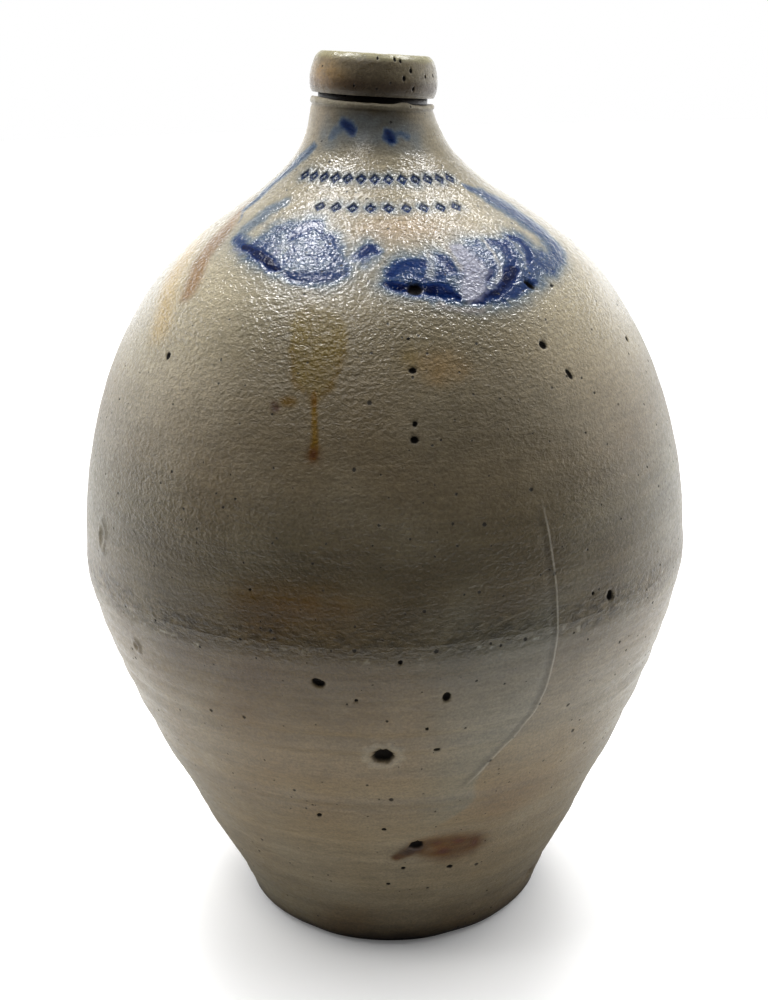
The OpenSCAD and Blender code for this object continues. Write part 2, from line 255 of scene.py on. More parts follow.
# Brush strokes: places, radii in mm, density of the cobalt
STROKES = {
    "cobalt_swag_left": [
        ([(-50.5, 280.2), (-46, 279.2)], [2.2, 2.4], 0.62),
        ([(-44, 278.6), (-37, 276.9), (-31.8, 275.0), (-28.6, 273.6), (-26.9, 272.6)],
         [1.8, 2.7, 2.7, 1.9, 0.9], 1.0),
        ([(-24, 271.6), (-20, 270.9), (-15.2, 270.9), (-11.6, 271.2), (-9.1, 271.8)],
         [1.3, 2.2, 2.4, 2.2, 1.4], 0.66),
        ([(-28.6, 281.9), (-26.2, 284.2), (-23.4, 285.4), (-20.2, 285.2), (-18.4, 283.4)],
         [2.4, 3.0, 2.6, 2.0, 1.2], 0.74),
        ([(-36.5, 283.6), (-33.8, 281.4), (-32.6, 278.8)], [1.2, 1.7, 1.2], 0.44),
        ([(-3.8, 277.2), (-2.2, 278.9), (-0.9, 278.2)], [2.0, 2.6, 1.8], 0.86),
        ([(-19, 282), (-15, 281.6), (-13.4, 279.2), (-15.6, 276.4), (-19.4, 276.6)],
         [1.3, 1.6, 1.8, 1.5, 1.0], 0.60)],
    "cobalt_swag_right": [
        ([(3.4, 271.6), (6.6, 273.6), (11, 274.4), (13, 273.6)], [2.2, 3.2, 3.0, 2.0], 0.78),
        ([(17.4, 275.2), (18.6, 273.6), (19.6, 271.6)], [2.6, 3.0, 2.4], 0.74),
        ([(2.2, 269), (5.3, 268), (8.9, 267.2), (12.4, 267.0), (15.6, 266.0), (18.6, 263.8)],
         [1.4, 2.6, 2.4, 3.3, 3.6, 1.6], 1.0),
        ([(36.3, 278.2), (40, 276.8), (39.8, 273.8), (37.4, 270.2)], [1.8, 2.6, 3.0, 3.0], 0.76),
        ([(37.4, 270.0), (32, 266.3), (27.2, 264.6), (22.0, 262.2)], [2.6, 3.6, 3.4, 1.4], 1.0),
        ([(30.5, 270.7), (29.1, 268.8), (27.8, 267.2)], [0.8, 1.4, 1.2], 0.98),
        ([(45, 279), (47.6, 277), (47.4, 273.6), (43, 270.4)], [1.8, 2.4, 2.5, 1.7], 0.74),
        ([(40.2, 267.8), (46.7, 269), (53.6, 269.8), (59, 271)], [2.2, 2.6, 2.6, 1.8], 0.55),
        ([(31.3, 262.9), (36.2, 264.3), (41.3, 266)], [1.8, 2.4, 2.0], 0.72)],
    "cobalt_side_bands": [
        ([(-53.2, 308.6), (-58.5, 306.5), (-63.5, 303.3), (-68, 299.7), (-70.0, 296.9), (-69.8, 293.9), (-68.4, 291),
          (-66.9, 288.7)],
         [1.6, 2.4, 2.6, 2.5, 2.3, 2.0, 1.7, 1.2], 0.42),
        ([(-66.9, 288.7), (-62.8, 286.4), (-59, 284.4)], [0.5, 0.4, 0.3], 0.4),
        ([(-44.2, 291.2), (-48.0, 289.0), (-49.0, 286.2), (-50.4, 283.6)], [2.4, 3.4, 3.6, 2.6], 0.29),
        ([(57.5, 291.5), (59.8, 289.1), (61.6, 286.2), (62.3, 282.9), (63.0, 279.6), (62.8, 276.4), (61.6, 273.4),
          (58.6, 270.6)],
         [3.2, 4.6, 5.2, 5.2, 4.8, 4.4, 3.8, 2.4], 0.54)],
    "cobalt_neck_dabs": [
        ([(-27, 316.4), (-21.2, 315.8), (-17.2, 314.6)], [1.5, 2.1, 1.8], 0.82),
        ([(-36.3, 313), (-32.2, 314.3), (-28, 315)], [1.7, 1.8, 1.4], 0.36),
        ([(12.2, 313.6), (13.9, 312.2), (15.6, 311)], [1.7, 2.1, 1.7], 0.86),
        ([(19, 312.9), (24.9, 313.1), (28, 312)], [1.5, 1.7, 1.3], 0.4),
        ([(51.7, 294.7), (52.8, 293.6), (53.9, 292.6)], [1.4, 1.8, 1.3], 0.55)],
}
# Outline of the olive drip, and the lines of its run and of the other stains
DRIP = [(-18.7, 261.2), (-19.2, 257.4), (-18.5, 251.7), (-18.1, 246.8), (-17.3, 242.2), (-15.8, 238.8),
        (-14.1, 236.6), (-12.1, 234.4), (-10.3, 237), (-8.7, 240.2), (-7.5, 244.3), (-6.7, 249.2), (-6.4, 254),
        (-7.1, 258.6), (-8.3, 261.4), (-12.2, 263), (-16.1, 263)]
# A lilac stroke wiped through the right swag: places, radii
LILAC = ([(23.6, 277.4), (25.4, 274.4), (25.6, 271.2), (24.2, 268), (22.4, 265.2), (21, 263.4)],
         [3.0, 4.2, 4.6, 4.2, 3.4, 2.0])
# Thin gaps in the pools: places, radius, share taken away
GAPS = [([(34.8, 278.4), (34, 274.4), (33.9, 271.4), (32.1, 268.7), (29.3, 266.7), (27.3, 266)], 0.8, 0.75),
        ([(43.3, 279), (44.6, 275.4), (43.6, 271.6), (41.4, 269.4)], 0.6, 0.5),
        ([(14.8, 276.5), (14.3, 273.4), (13.4, 270.9)], 1.2, 0.5),
        ([(14.1, 262.7), (16.7, 261.2), (19.5, 260.1), (23.4, 259.8)], 0.65, 0.7),
        ([(20.6, 278), (21.4, 274.6), (22.4, 272.2)], 0.7, 0.7)]
# Milky patches: share, then azimuth, height, half width, half height, turn and hardness, as spot takes them
MILKY = [(0.16, -21.5, 277.6, 11.0, 5.0, 0, 4), (0.5, -29.5, 277.5, 3.4, 4.5, -20), (0.7, -5.9, 276.4, 2.6, 2.8),
         (0.7, -46, 276.6, 4.0, 1.8)]
# Pale washes round the neck dabs: places, radius
NECK_WASHES = [([(9, 313.6), (20, 313), (31, 312)], 3.2), ([(-39, 313), (-15, 315)], 3.0)]
# Right border of the bluish flow, over the scratch and on below it
FLOW_EDGE = [(30, 172), (28.4, 152.5), (27.9, 137), (26.3, 124), (22.4, 113), (18.1, 103), (16.6, 94), (17.2, 86),
             (13, 79), (9, 74)]
DRIP_RUN = [(-12.4, 238), (-12.1, 231.7), (-11.8, 227), (-11.7, 222.9), (-11.9, 219.2)]
PINK_FLASH = [(-70, 289), (-65, 284.5), (-61.2, 280.5), (-59.2, 276.9), (-58.1, 273), (-55, 268.6), (-53, 263)]
STRAW_FLASH = [(-84, 278), (-72, 270.5), (-66, 265), (-60.5, 259), (-56.5, 252)]
SMEAR = [(5.5, 62.6), (9, 61.4), (13, 60.2), (18.5, 59.6)]
SMEAR_RADII = [3.0, 4.4, 5.6, 6.4, 6.8, 6.6, 5.6]
SMEAR_TAIL = [(0.6, 56.8), (3.0, 59.2), (5, 62)]
# Two rows of small lozenges pressed into the shoulder, from the first to the last place of each
LOZENGES = [place for a0, h0, a1, h1, n in ((-45, 300.1, 45, 297.7, 13), (-24, 290.9, 34.5, 289.4, 9))
            for place in zip(np.linspace(a0, a1, n), np.linspace(h0, h1, n))]


def lozenges_of(az, z):
    """Depth share of the pressed lozenges, and the raised lip round each."""
    deep, lip = np.zeros(az.shape), np.zeros(az.shape)
    near = (np.abs(az) < 60) & (z > 282) & (z < 306)
    for place in LOZENGES:
        x, y = mm_from(az[near], z[near], *place)
        m = np.abs(x) / 2.25 + np.abs(y) / 2.75
        deep[near] = np.maximum(deep[near], step(1.1, 0.72, m) - 0.75 * step(0.52, 0.3, m))
        lip[near] = np.maximum(lip[near], bell(m, 1.3, 0.16))
    return deep, lip


def cobalt_of(p, az, z):
    """Density of the cobalt, and how milky it lies, at points of the surface."""
    density, milk = np.zeros(az.shape), np.zeros(az.shape)
    near = (np.abs(az) < 88) & (z > 248)
    if not near.any():
        return density, milk
    p, az, z = p[near], az[near], z[near]
    warp = np.stack([1.1 * noise(p, 7.0, s) + 0.6 * noise(p, 3.0, s + 4) + 0.28 * noise(p, 1.4, s + 8)
                     for s in (1, 2, 3)], -1)
    q = p + warp
    fine, grain, blotch, cloud = noise(p, 1.7, 8), noise(p, 0.95, 13), noise(p, 4.2, 9), noise(p, 9, 10)
    wa = az + np.degrees(warp[..., 0] / np.maximum(np.hypot(p[..., 0], p[..., 1]), 20))
    wh = z + warp[..., 2] * 0.6
    d = np.zeros(az.shape)
    for places, base in ((SWAG_LEFT, 0.47), (SWAG_LEFT_BLOB, 0.42), (SWAG_RIGHT, 0.50)):
        edge = inside_of(wa, wh, places)
        body = step(-2.6, 3.0, edge + fine + 1.1 * blotch) * (base + 0.18 * cloud + 0.20 * blotch + 0.10 * fine)
        fringe = (0.18 + 0.07 * blotch) * np.exp(-np.clip(-edge - 1, 0, 99) / 3.0)
        d = np.maximum(np.maximum(d, body), fringe)
    for places, radii, dense in sum(STROKES.values(), []):
        s, _ = stroke(q, places, 4, radii)
        m = step(1.95, 0.25, s + 0.26 * fine + 0.2 * blotch)
        laid = dense * (1 + 0.14 * blotch + 0.10 * fine)
        d = np.maximum(d, m * laid) if dense > 0.7 else d * (1 - m) + np.maximum(d, laid) * m
        d = np.maximum(d, 0.2 * dense * np.exp(-np.clip(s - 1, 0, 9) / 0.8))
    places, radii = LILAC
    m = step(1.45, 0.45, stroke(q, places, 3, radii)[0] + 0.25 * blotch + 0.15 * fine)
    d, pale = d * (1 - 0.66 * m) + 0.15 * m, 0.85 * m
    for places, radius, k in GAPS:
        m = step(2.2, 0.4, stroke(q, places, 3, radius)[0] + 0.2 * fine)
        d, pale = d * (1 - k * m), np.maximum(pale, 0.5 * k * m)
    lobe = sum(k * spot(wa, wh, *place) for k, *place in MILKY)
    lobe = np.clip(lobe, 0, 1) * band(d, 0.1, 0.26, 0.46, 0.62)
    pale = np.maximum(pale, lobe * (0.48 + 0.75 * blotch + 0.45 * grain))
    # Washes round the lozenges and the dabs, and under the swags' outer ends
    wash = np.max([spot(wa, wh, *place, 3.4, 3.6, 0, 3) for place in LOZENGES], 0)
    d = np.maximum(d, wash * (0.17 + 0.10 * blotch + 0.05 * fine))
    d = np.maximum(d, np.clip(lozenges_of(az, z)[0], 0, 1) * (0.86 + 0.12 * blotch))
    wash = sum(step(3.4, 0.6, along(q, places, radius)[0]) for places, radius in NECK_WASHES)
    d = np.maximum(d, (0.13 + 0.07 * blotch) * np.clip(wash, 0, 1))
    d = np.maximum(d, 0.09 * spot(wa, wh, -52, 281, 9, 9) + 0.07 * spot(wa, wh, 58, 284, 14, 14))
    density[near], milk[near] = np.clip(d, 0, 1), np.clip(pale, 0, 1)
    return density, milk


def seam_of(p, az, z):
    """Height over the wavy belly seam, and the noise of the flattened lumps along it."""
    return z - SEAM_H - 2.0 * noise(cylinder(az, z), 60, 7), noise(p * (0.42, 0.42, 1.0), 1.5, 30)


def blister_of(p, az, z, a0, z0, w, h):
    """Distance from a blister's middle, as a share of its uneven half-sizes."""
    x = (az - a0) * math.radians(1) * float(outer_radius(z0))
    return np.hypot(x / w, (z - z0) / h) * (1 + 0.30 * noise(p, 4.5, 14))


def relief_of(p, az, z):
    """How far the fired clay stands out from its bare outline, in mm, with the fields that colour it."""
    around = cylinder(az, z)
    out = 0.45 * noise(p, 95, 1) + 0.16 * noise(p, 34, 2)
    # Throwing rings, a shallow spiral
    ring_at = level(z + 2.6 * az / 360 + 1.3 * noise(around, 55, 3), 5.5)
    strength = 0.12 + 0.56 * band(z, 20, 55, 136, 162) + 0.10 * step(300, 316, z) + 0.05 * step(230, 170, z)
    rings = noise(ring_at, 7.5, 4) + 0.28 * noise(ring_at, 3.4, 5)
    out += strength * rings * (1 + 0.4 * noise(around, 40, 6))
    # The belly seam: a soft step with flattened lumps
    seam, dash = seam_of(p, az, z)
    out += 0.12 * dash * bell(seam, -0.5, 6.0, 4)
    out += 0.18 * bell(seam, -4.5, 3.4) - 0.16 * bell(seam, -10, 3.5) - 0.11 * bell(seam, 4, 3.6)
    # The scratch: a shallow furrow beside the line that the material draws as its lip
    scratch = np.full(az.shape, 12.0)
    close = (np.abs(az - 22) < 18) & (np.abs(z - 147) < 66)
    s, side = stroke(p[close], SCRATCH, 4)
    scratch[close] = np.clip(s, 0, 12) * np.where(side < 0, -1, 1)
    out -= 0.20 * band(z, 88, 102, 185, 203) * bell(scratch, 2.2, 1.6)
    pit, halo = np.full(az.shape, 9.0), np.zeros(az.shape)
    for a0, z0, w, h, deep, turn in PITS:
        close = (np.abs(az - a0) < 14) & (np.abs(z - z0) < 14)
        jag = 1 + 0.24 * noise(p[close], 2.4, 10) + 0.14 * noise(p[close], 1.1, 12)
        d = oval(az[close], z[close], a0, z0, w, h, turn) * jag
        pit[close] = np.minimum(pit[close], d)
        out[close] += -deep * step(1.15, 0.5, d) + 0.12 * deep * bell(d, 1.35, 0.25)
        if w > 3:
            halo[close] = np.maximum(halo[close], bell(d, 1.45, 0.32))
    for blister in BLISTERS:
        d = blister_of(p, az, z, *blister)
        out += 0.50 * bell(d, 1, 0.30) * (1 + 0.6 * noise(p, 5.0, 15)) - 0.25 * step(0.9, 0.3, d)
    deep, lip = lozenges_of(az, z)
    out += -0.45 * deep + 0.08 * lip
    # Worn notches in the foot band and the foot, and a soft lip over the foot
    out += -1.1 * spot(az, z, 57, 14.5, 3.2, 2.2) - 0.5 * spot(az, z, -34, 3, 6, 2.5) - 0.6 * spot(az, z, 22, 2, 7, 2)
    out += 0.35 * bell(z - noise(around, 50, 11), 13.5, 2.2) - 0.25 * bell(z, 18.5, 2.5)
    return out, scratch, pit, halo


def srgb(r, g, b):
    """Linear colour from 0 to 255 display values."""
    c = np.array([r, g, b], float) / 255
    return np.where(c <= 0.04045, c / 12.92, ((c + 0.055) / 1.055) ** 2.4)


def blend(base, colour, amount):
    """The base covered by a colour, as by slip."""
    a = np.clip(amount, 0, 1)[..., None]
    return base * (1 - a) + colour * a


def stain(base, ratio, amount):
    """The base multiplied by a ratio, as a stain in the glaze does."""
    return base * (1 + (np.array(ratio) - 1) * np.clip(amount, 0, 1.4)[..., None])


def layered(tone, *layers):
    """The tone under layers, each blend or stain with its colour and amount."""
    for lay, colour, amount in layers:
        tone = lay(tone, colour, amount)
    return tone


CLAY, CLAY_PALE, INSIDE = srgb(134, 125, 105), srgb(146, 137, 115), srgb(116, 98, 76)
MILK, BURNT = srgb(140, 138, 154), srgb(9, 7, 7)
COBALT_RAMP = [(0, None), (0.2, srgb(104, 111, 114)), (0.38, srgb(74, 89, 108)), (0.6, srgb(38, 58, 96)),
               (0.82, srgb(14, 36, 82)), (1.0, srgb(1, 9, 46))]
BROWN, BLUE, AMBER, OLIVE = (0.88, 0.80, 0.68), (0.94, 1.05, 1.20), (0.98, 0.71, 0.12), (0.98, 0.88, 0.52)
ORANGE, PINK, STRAW = (1.22, 0.90, 0.52), (1.08, 0.90, 0.80), (1.25, 1.10, 0.72)
# Soft patches round the back: colour, share, place and half-sizes
BACK_PATCHES = [(PINK, 0.9, (150, 205, 34, 22)), (ORANGE, 0.5, (-135, 150, 30, 16)), (BROWN, 0.9, (105, 120, 26, 30)),
                (BLUE, 0.9, (96, 232, 18, 30)), (BROWN, 0.9, (-160, 95, 30, 22)), (STRAW, 0.7, (178, 262, 20, 12)),
                (BROWN, 0.8, (-98, 196, 20, 34)), (OLIVE, 0.5, (-118, 250, 16, 12))]


def tint_of(p, az, z, cobalt, milk, halo):
    """Colour of the fired surface."""
    big, mid, small, tiny = noise(p, 60, 21), noise(p, 19, 22), noise(p, 6.5, 23), noise(p, 2.4, 28)
    aside = np.abs(az)

    def at(*place):
        return spot(az, z, *place)

    tone = layered(
        np.broadcast_to(CLAY, p.shape),
        (stain, BROWN, 0.45 + 0.6 * big + 0.35 * mid),
        (stain, BLUE, 0.55 * step(-15, -60, az) * step(140, 200, z) + 0.35 * step(35, 65, az)
         + 0.5 * noise(p, 45, 24) + 0.3 * mid),
        (blend, CLAY_PALE, 0.6 * step(225, 275, z) + 0.15 * mid),
        # The belly is darker and browner all round, with painted shade over its front; the shoulder's front is darker
        # with painted shade, and its flanks are paler with painted light
        (stain, (0.78, 0.72, 0.65), step(140, 160, z + 3 * mid) * step(268, 195, z) * (0.95 + 0.3 * mid)),
        (stain, (0.57, 0.55, 0.51), band(z, 112, 158, 182, 222) * step(75, 25, aside) * (1 + 0.2 * mid)),
        (stain, (0.80, 0.79, 0.76), band(z, 196, 222, 252, 276) * step(46, 18, aside)),
        (stain, (1.42, 1.41, 1.38), band(aside, 20, 46, 56, 98) * band(z, 206, 242, 280, 306)),
        (stain, (0.96, 0.91, 0.83), step(156, 146, z) * (0.95 + 0.5 * mid)),
        (stain, (0.72, 0.64, 0.44), 1.05 * at(-24, 140, 50, 21, 0, 3) * (1 + 0.45 * mid + 0.25 * small)),
        (stain, (0.965, 0.905, 0.815), at(-18, 100, 50, 60, 0, 4) * (1 + 0.3 * mid)),
        (stain, (0.96, 1.0, 0.985), band(z, 140, 156, 190, 218)),
        (stain, (0.92, 0.87, 0.84), at(25, 84, 13, 14, 0, 3) * (1 + 0.5 * mid)),
        # Painted shadow at the front of the foot's bottom edge
        (stain, (0.24, 0.22, 0.16), 0.9 * at(1, 3, 17, 5.5)))
    # Level streaks left by the potter's fingers, and the seam's mottled dashes
    streak_at = level(z + 1.6 * noise(cylinder(az, z), 50, 25), 2.5)
    streaks = (0.15 * noise(streak_at, 9, 26) + 0.09 * noise(streak_at, 3.4, 27)
               + 0.10 * noise(p * (0.12, 0.12, 1.0), 2.2, 29))
    seam, dash = seam_of(p, az, z)
    within = bell(seam, 2.5, 6.0, 4) * (0.85 + 0.5 * mid) * step(80, 50, np.abs(az + 10))
    dashes = within * (0.28 * step(-0.05, -0.4, dash) - 0.38 * step(0.05, 0.42, dash))
    tone = tone * ((1 + streaks * step(262, 200, z)) * (1 + dashes))[..., None]
    flecks = step(75, 55, aside) * step(0.46, 0.66, noise(p * (0.6, 0.6, 1.0), 1.9, 32)) * bell(seam, -3.0, 3.2)
    # Bluish grey flow whose right side is the scratch and the line that carries it on
    border, side = stroke(p, FLOW_EDGE, 2, reach=60)
    left = border * np.where(side < 0, -1, 1)
    flow = step(-0.8, 1.2, left) * step(2, 14, az + 5 * mid) * step(70, 82, z + 2 * small) * step(172, 160, z + 4 * mid)
    drip = np.full(az.shape, -20.0)
    close = (np.abs(az + 12.5) < 18) & (np.abs(z - 249) < 26)
    drip[close] = inside_of(az[close], z[close], DRIP)
    drip += 1.1 * small + 0.5 * tiny
    run = stroke(p, DRIP_RUN, 3, np.linspace(0.7, 1.25, len(DRIP_RUN)))[0] + 0.25 * tiny
    pink, straw = stroke(p, PINK_FLASH, 3)[0], stroke(p, STRAW_FLASH, 3)[0]
    smear = step(1.9, 0.5, along(p, smooth(SMEAR, 2), SMEAR_RADII)[0] + 0.25 * small)
    tail = step(1.6, 0.4, along(p, SMEAR_TAIL, [2.0, 2.8, 3.2])[0])
    tone = layered(
        tone,
        (stain, (0.84, 0.82, 0.80), 0.6 * bell(seam - 3 * mid, 6, 6.0)),
        (blend, srgb(150, 144, 126), 0.7 * flecks),
        (stain, (0.93, 1.01, 1.10), 0.95 * flow),
        (stain, (1.02, 0.94, 0.80), 0.8 * step(0.5, -1.0, left) * band(z, 70, 80, 104, 120) * step(46, 34, az)),
        (stain, (0.96, 0.90, 0.74), 0.9 * at(0, 137, 12, 17, 0, 3) * (1 + 0.6 * mid)),
        # Stains over the seam and in the middle of the belly
        (stain, (0.91, 0.74, 0.37), at(-15.5, 169.5, 27, 9.5, 0, 4) * (0.95 + 0.6 * mid + 0.4 * small)
         * step(156.5, 160.5, z + small)),
        (stain, (1.03, 0.95, 0.74), at(-19, 151, 27, 9, 0, 3) * (1 + 0.3 * mid)),
        (stain, (1.08, 0.92, 0.74), at(-11, 172, 13, 5.5) * (0.8 + 0.4 * small)),
        (stain, (1.20, 1.02, 0.80), at(12.0, 244.5, 8, 5.5, 0, 3) * (1 + 0.7 * small)),
        (stain, (0.96, 0.85, 0.50), 0.6 * at(5.6, 248, 3, 3)),
        # The drip with its rusty run, and the spots beside it
        (stain, (0.88, 0.78, 0.41), 0.95 * step(-1.0, 1.6, drip) * step(268, 256, z + 3 * small)
         * (0.85 + 0.5 * small)),
        (stain, (0.84, 0.72, 0.46), bell(drip, 0.9, 1.1) * step(258, 242, z) * (0.8 + 0.5 * small)),
        (stain, AMBER, 1.15 * step(1.6, 0.6, run)),
        (stain, (0.62, 0.36, 0.10), 1.1 * at(-11.9, 219.8, 1.9, 2.2)),
        (stain, (0.70, 0.50, 0.12), 1.1 * at(-17.2, 235.3, 2.8, 1.7, 0, 4)),
        (blend, srgb(58, 22, 8), 0.95 * at(-19.7, 233.6, 1.5, 2.0, 30, 4) * (0.8 + tiny)),
        # Flashing on the left shoulder, and softer patches round the back
        (stain, (0.68, 0.49, 0.34), 1.1 * step(7, 1, pink + 2.5 * mid + 1.2 * small)),
        (stain, (1.10, 0.93, 0.60), step(11, 1, straw + 2.5 * mid)),
        (stain, (1.25, 1.08, 1.00), 0.9 * at(8, 284, 15, 6.5)),
        *((stain, ratio, k * at(*place) * (1 + 0.6 * mid + 0.3 * small)) for ratio, k, place in BACK_PATCHES),
        # The brown smear near the foot
        (stain, (0.50, 0.33, 0.15), 1.2 * np.maximum(smear, tail) * (1 + 0.4 * small)),
        (stain, (0.34, 0.27, 0.20), at(3.6, 60.2, 5.0, 2.8, 25)),
        (stain, (1.4, 1.25, 1.1), 0.8 * at(10.5, 60.2, 3.5, 1.8)),
        # Foot and neck
        # The foot is darker and browner towards the bottom, less so on the left, partly its colour and partly painted
        # shade
        (stain, (0.66, 0.56, 0.44), step(34, 2, z) * (0.9 + 0.4 * mid) * (1 - 0.75 * band(-az, 14, 42, 60, 110))),
        # The neck's front is browner and darker, partly its colour and partly painted shade; its middle has painted
        # shade, and its left side has painted light
        (stain, (0.64, 0.58, 0.48), step(305, 318, z) * (0.9 + 0.4 * mid) * step(86, 24, np.abs(az + 4))),
        (stain, (0.36, 0.32, 0.21), step(304, 317, z) * step(44, 12, np.abs(az - 2))),
        (stain, (1.20, 1.14, 1.12), step(303, 314, z) * band(-az, 32, 52, 80, 110)),
        (stain, (1.14, 1.20, 1.26), step(36, 12, z) * band(-az, 18, 42, 80, 115)),
        # Painted shadow along the foot's bottom edge
        (stain, (0.22, 0.18, 0.13), step(9.0, 2.0, z + 1.2 * small)),
        *((stain, (0.45, 0.42, 0.38), 0.6 * bell(blister_of(p, az, z, a0, z0, w, h), 1.28, 0.16) * (0.6 + tiny)
           + 0.9 * at(a0 + 0.4, z0 + 0.9, 1.0, 0.8)) for a0, z0, w, h in BLISTERS),
        (blend, CLAY_PALE, 0.55 * halo))
    tone = tone * (1 + 0.05 * small + 0.04 * tiny)[..., None]
    for (l0, c0), (l1, c1) in zip(COBALT_RAMP, COBALT_RAMP[1:]):
        t = ((cobalt - l0) / (l1 - l0))[..., None]
        start = tone if c0 is None else c0
        tone = np.where(((cobalt > l0) & (cobalt <= l1))[..., None], start * (1 - t) + c1 * t, tone)
    fleck = step(0.42, 0.7, noise(p, 1.25, 33)) * band(cobalt, 0.1, 0.3, 0.5, 0.8)
    return layered(tone, (blend, MILK, 0.8 * milk), (blend, srgb(150, 153, 160), 0.55 * fleck * (0.4 + milk)))


# Columns of the turned pieces: fine over the decorated front, wider round the back
AZ = np.concatenate([np.arange(-81, 81.01, 0.375), np.arange(81.8, 278.6, 0.8)])
AZ = np.where(AZ > 180, AZ - 360, AZ)
ROW = 0.75


def resampled(path, gap):
    """Points along an open (radius, height) path, at most gap apart."""
    path = np.array(path, float)
    at = np.concatenate([[0], np.cumsum(np.linalg.norm(np.diff(path, axis=0), axis=1))])
    x = np.linspace(0, at[-1], max(2, int(math.ceil(at[-1] / gap)) + 1))
    return np.stack([np.interp(x, at, path[:, 0]), np.interp(x, at, path[:, 1])], -1)


def outline(z):
    """The bare outline's (radius, height) path over heights."""
    return np.stack([outer_radius(z), z], -1)


def inner_outline(low, high, count):
    """The same, going up, moved in by the wall."""
    path = outline(np.linspace(low, high, count))
    return path - WALL * outward(path)


def arc(x, y, r, start, end, count):
    """Path round a middle, between two angles in degrees."""
    return np.array([[x + r * math.cos(t), y + r * math.sin(t)] for t in np.radians(np.linspace(start, end, count))])


def outward(path):
    """Unit normals (radial, upward) along a (radius, height) path that climbs the outside."""
    d = np.gradient(path, axis=0)
    n = np.stack([d[:, 1], -d[:, 0]], -1)
    return n / np.linalg.norm(n, axis=1, keepdims=True)


def rings_of(path, az=AZ):
    """Turned points (rows, columns, 3) of a (radius, height) path."""
    path = np.asarray(path, float)
    return turned(path[:, :1], az, path[:, 1:])


def moved(path, by, az=AZ):
    """Turned points moved out along the path's normals by an amount at each."""
    n = outward(path)
    return turned(path[:, :1] + n[:, :1] * by, az, path[:, 1:] + n[:, 1:] * by)


def in_collar_frame(p):
    """Points given in the collar's leaning frame, in the jug's frame."""
    c, s = math.cos(TILT), math.sin(TILT)
    return np.stack([p[..., 0] * c + p[..., 2] * s, p[..., 1], PIVOT - p[..., 0] * s + p[..., 2] * c], -1)


def bore(top, bottom, down):
    """Rows of the straight bore between two heights, at shares of the way down."""
    down = down[:, None]
    return turned(BORE_R, AZ, top * (1 - down) + bottom * down)


def linked(name, data):
    """A new object in the scene."""
    ob = bpy.data.objects.new(name, data)
    bpy.context.scene.collection.objects.link(ob)
    return ob


def add_piece(node, material, verts, loops, starts, uv, fields):
    """The mesh of one piece, with its UV map and the fields that its material reads."""
    me = bpy.data.meshes.new("jug_" + node)
    me.vertices.add(len(verts))
    me.vertices.foreach_set("co", (verts * MM).astype(np.float32).ravel())
    me.loops.add(len(loops))
    me.loops.foreach_set("vertex_index", loops.astype(np.int32))
    me.polygons.add(len(starts))
    me.polygons.foreach_set("loop_start", starts.astype(np.int32))
    me.update(calc_edges=True)
    me.uv_layers.new(name="OFBake").data.foreach_set("uv", uv.astype(np.float32).ravel())
    me.polygons.foreach_set("use_smooth", np.ones(len(starts), bool))
    for key, value in fields.items():
        kind, entry = ("FLOAT_VECTOR", "vector") if key == "tint" else ("FLOAT", "value")
        me.attributes.new(key, kind, "POINT").data.foreach_set(entry, value.astype(np.float32).ravel())
    me.validate()
    me.materials.append(material)
    ob = linked(me.name, me)
    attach(ob, "root")
    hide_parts(node)
    return me


def build(node, material, parts, poles=None, sharp=()):
    """A piece from parts, each some rows of rings with their fields.

    It closes on itself, or on a point at each end. sharp lists the rows with a crisp edge."""
    P = np.concatenate([points for points, _ in parts])
    rows, cols = P.shape[:2]
    verts = P.reshape(-1, 3)
    fields = {key: np.concatenate([f[key] for _, f in parts]).reshape(rows * cols, -1) for key in parts[0][1]}
    run = np.concatenate([[0], np.cumsum(np.linalg.norm(np.diff(P[:, 0], axis=0), axis=1) + 0.02)])
    if not poles:
        run = np.append(run, run[-1] + 1)
    v = run / run[-1]
    r, c = np.meshgrid(np.arange(len(run) - 1), np.arange(cols), indexing="ij")
    at_row, at_col = np.stack([r, r, r + 1, r + 1], -1), np.stack([c, c + 1, c + 1, c], -1)
    loops = (at_row % rows * cols + at_col % cols).ravel()
    starts = np.arange(0, len(loops), 4)
    uv = np.stack([at_col / cols, v[at_row]], -1).reshape(-1, 2)
    if poles:
        c = np.arange(cols)
        for end, row, v_tip, order in ((0, 0, -0.01, (2, 1, 0)), (1, rows - 1, 1.01, (0, 1, 2))):
            corners = np.stack([row * cols + c, row * cols + (c + 1) % cols, 0 * c + len(verts) + end], -1)
            at = np.stack([np.stack([c, c + 1, c + 0.5], -1) / cols, np.tile([end, end, v_tip], (cols, 1))], -1)
            starts = np.append(starts, len(loops) + c * 3)
            loops = np.append(loops, corners[:, order])
            uv = np.concatenate([uv, at[:, order].reshape(-1, 2)])
        verts = np.concatenate([verts, poles])
        fields = {key: np.concatenate([f, f[:1], f[-1:]]) for key, f in fields.items()}
    uv[:, 1] = (uv[:, 1] + 0.012) / 1.024
    me = add_piece(node, material, verts, loops, starts, uv, fields)
    if sharp:
        ends = np.empty(len(me.edges) * 2, np.int32)
        me.edges.foreach_get("vertices", ends)
        row = ends.reshape(-1, 2) // cols
        crisp = (row[:, 0] == row[:, 1]) & np.isin(row[:, 0], np.array(sharp) % rows)
        me.attributes.new("sharp_edge", "BOOLEAN", "EDGE").data.foreach_set("value", crisp)


# ---------------------------------------------------------------- materials
def node_sum(op):
    """The operator that adds a math node."""
    return lambda self, other=0.0: self.nodes.math(op, self, other)


class Output:
    """An output of a node. Those that are numbers go into sums in plain notation."""

    __add__, __sub__, __mul__, __truediv__ = map(node_sum, ("ADD", "SUBTRACT", "MULTIPLY", "DIVIDE"))
    __abs__ = node_sum("ABSOLUTE")

    def __init__(self, nodes, socket):
        self.nodes, self.socket = nodes, socket


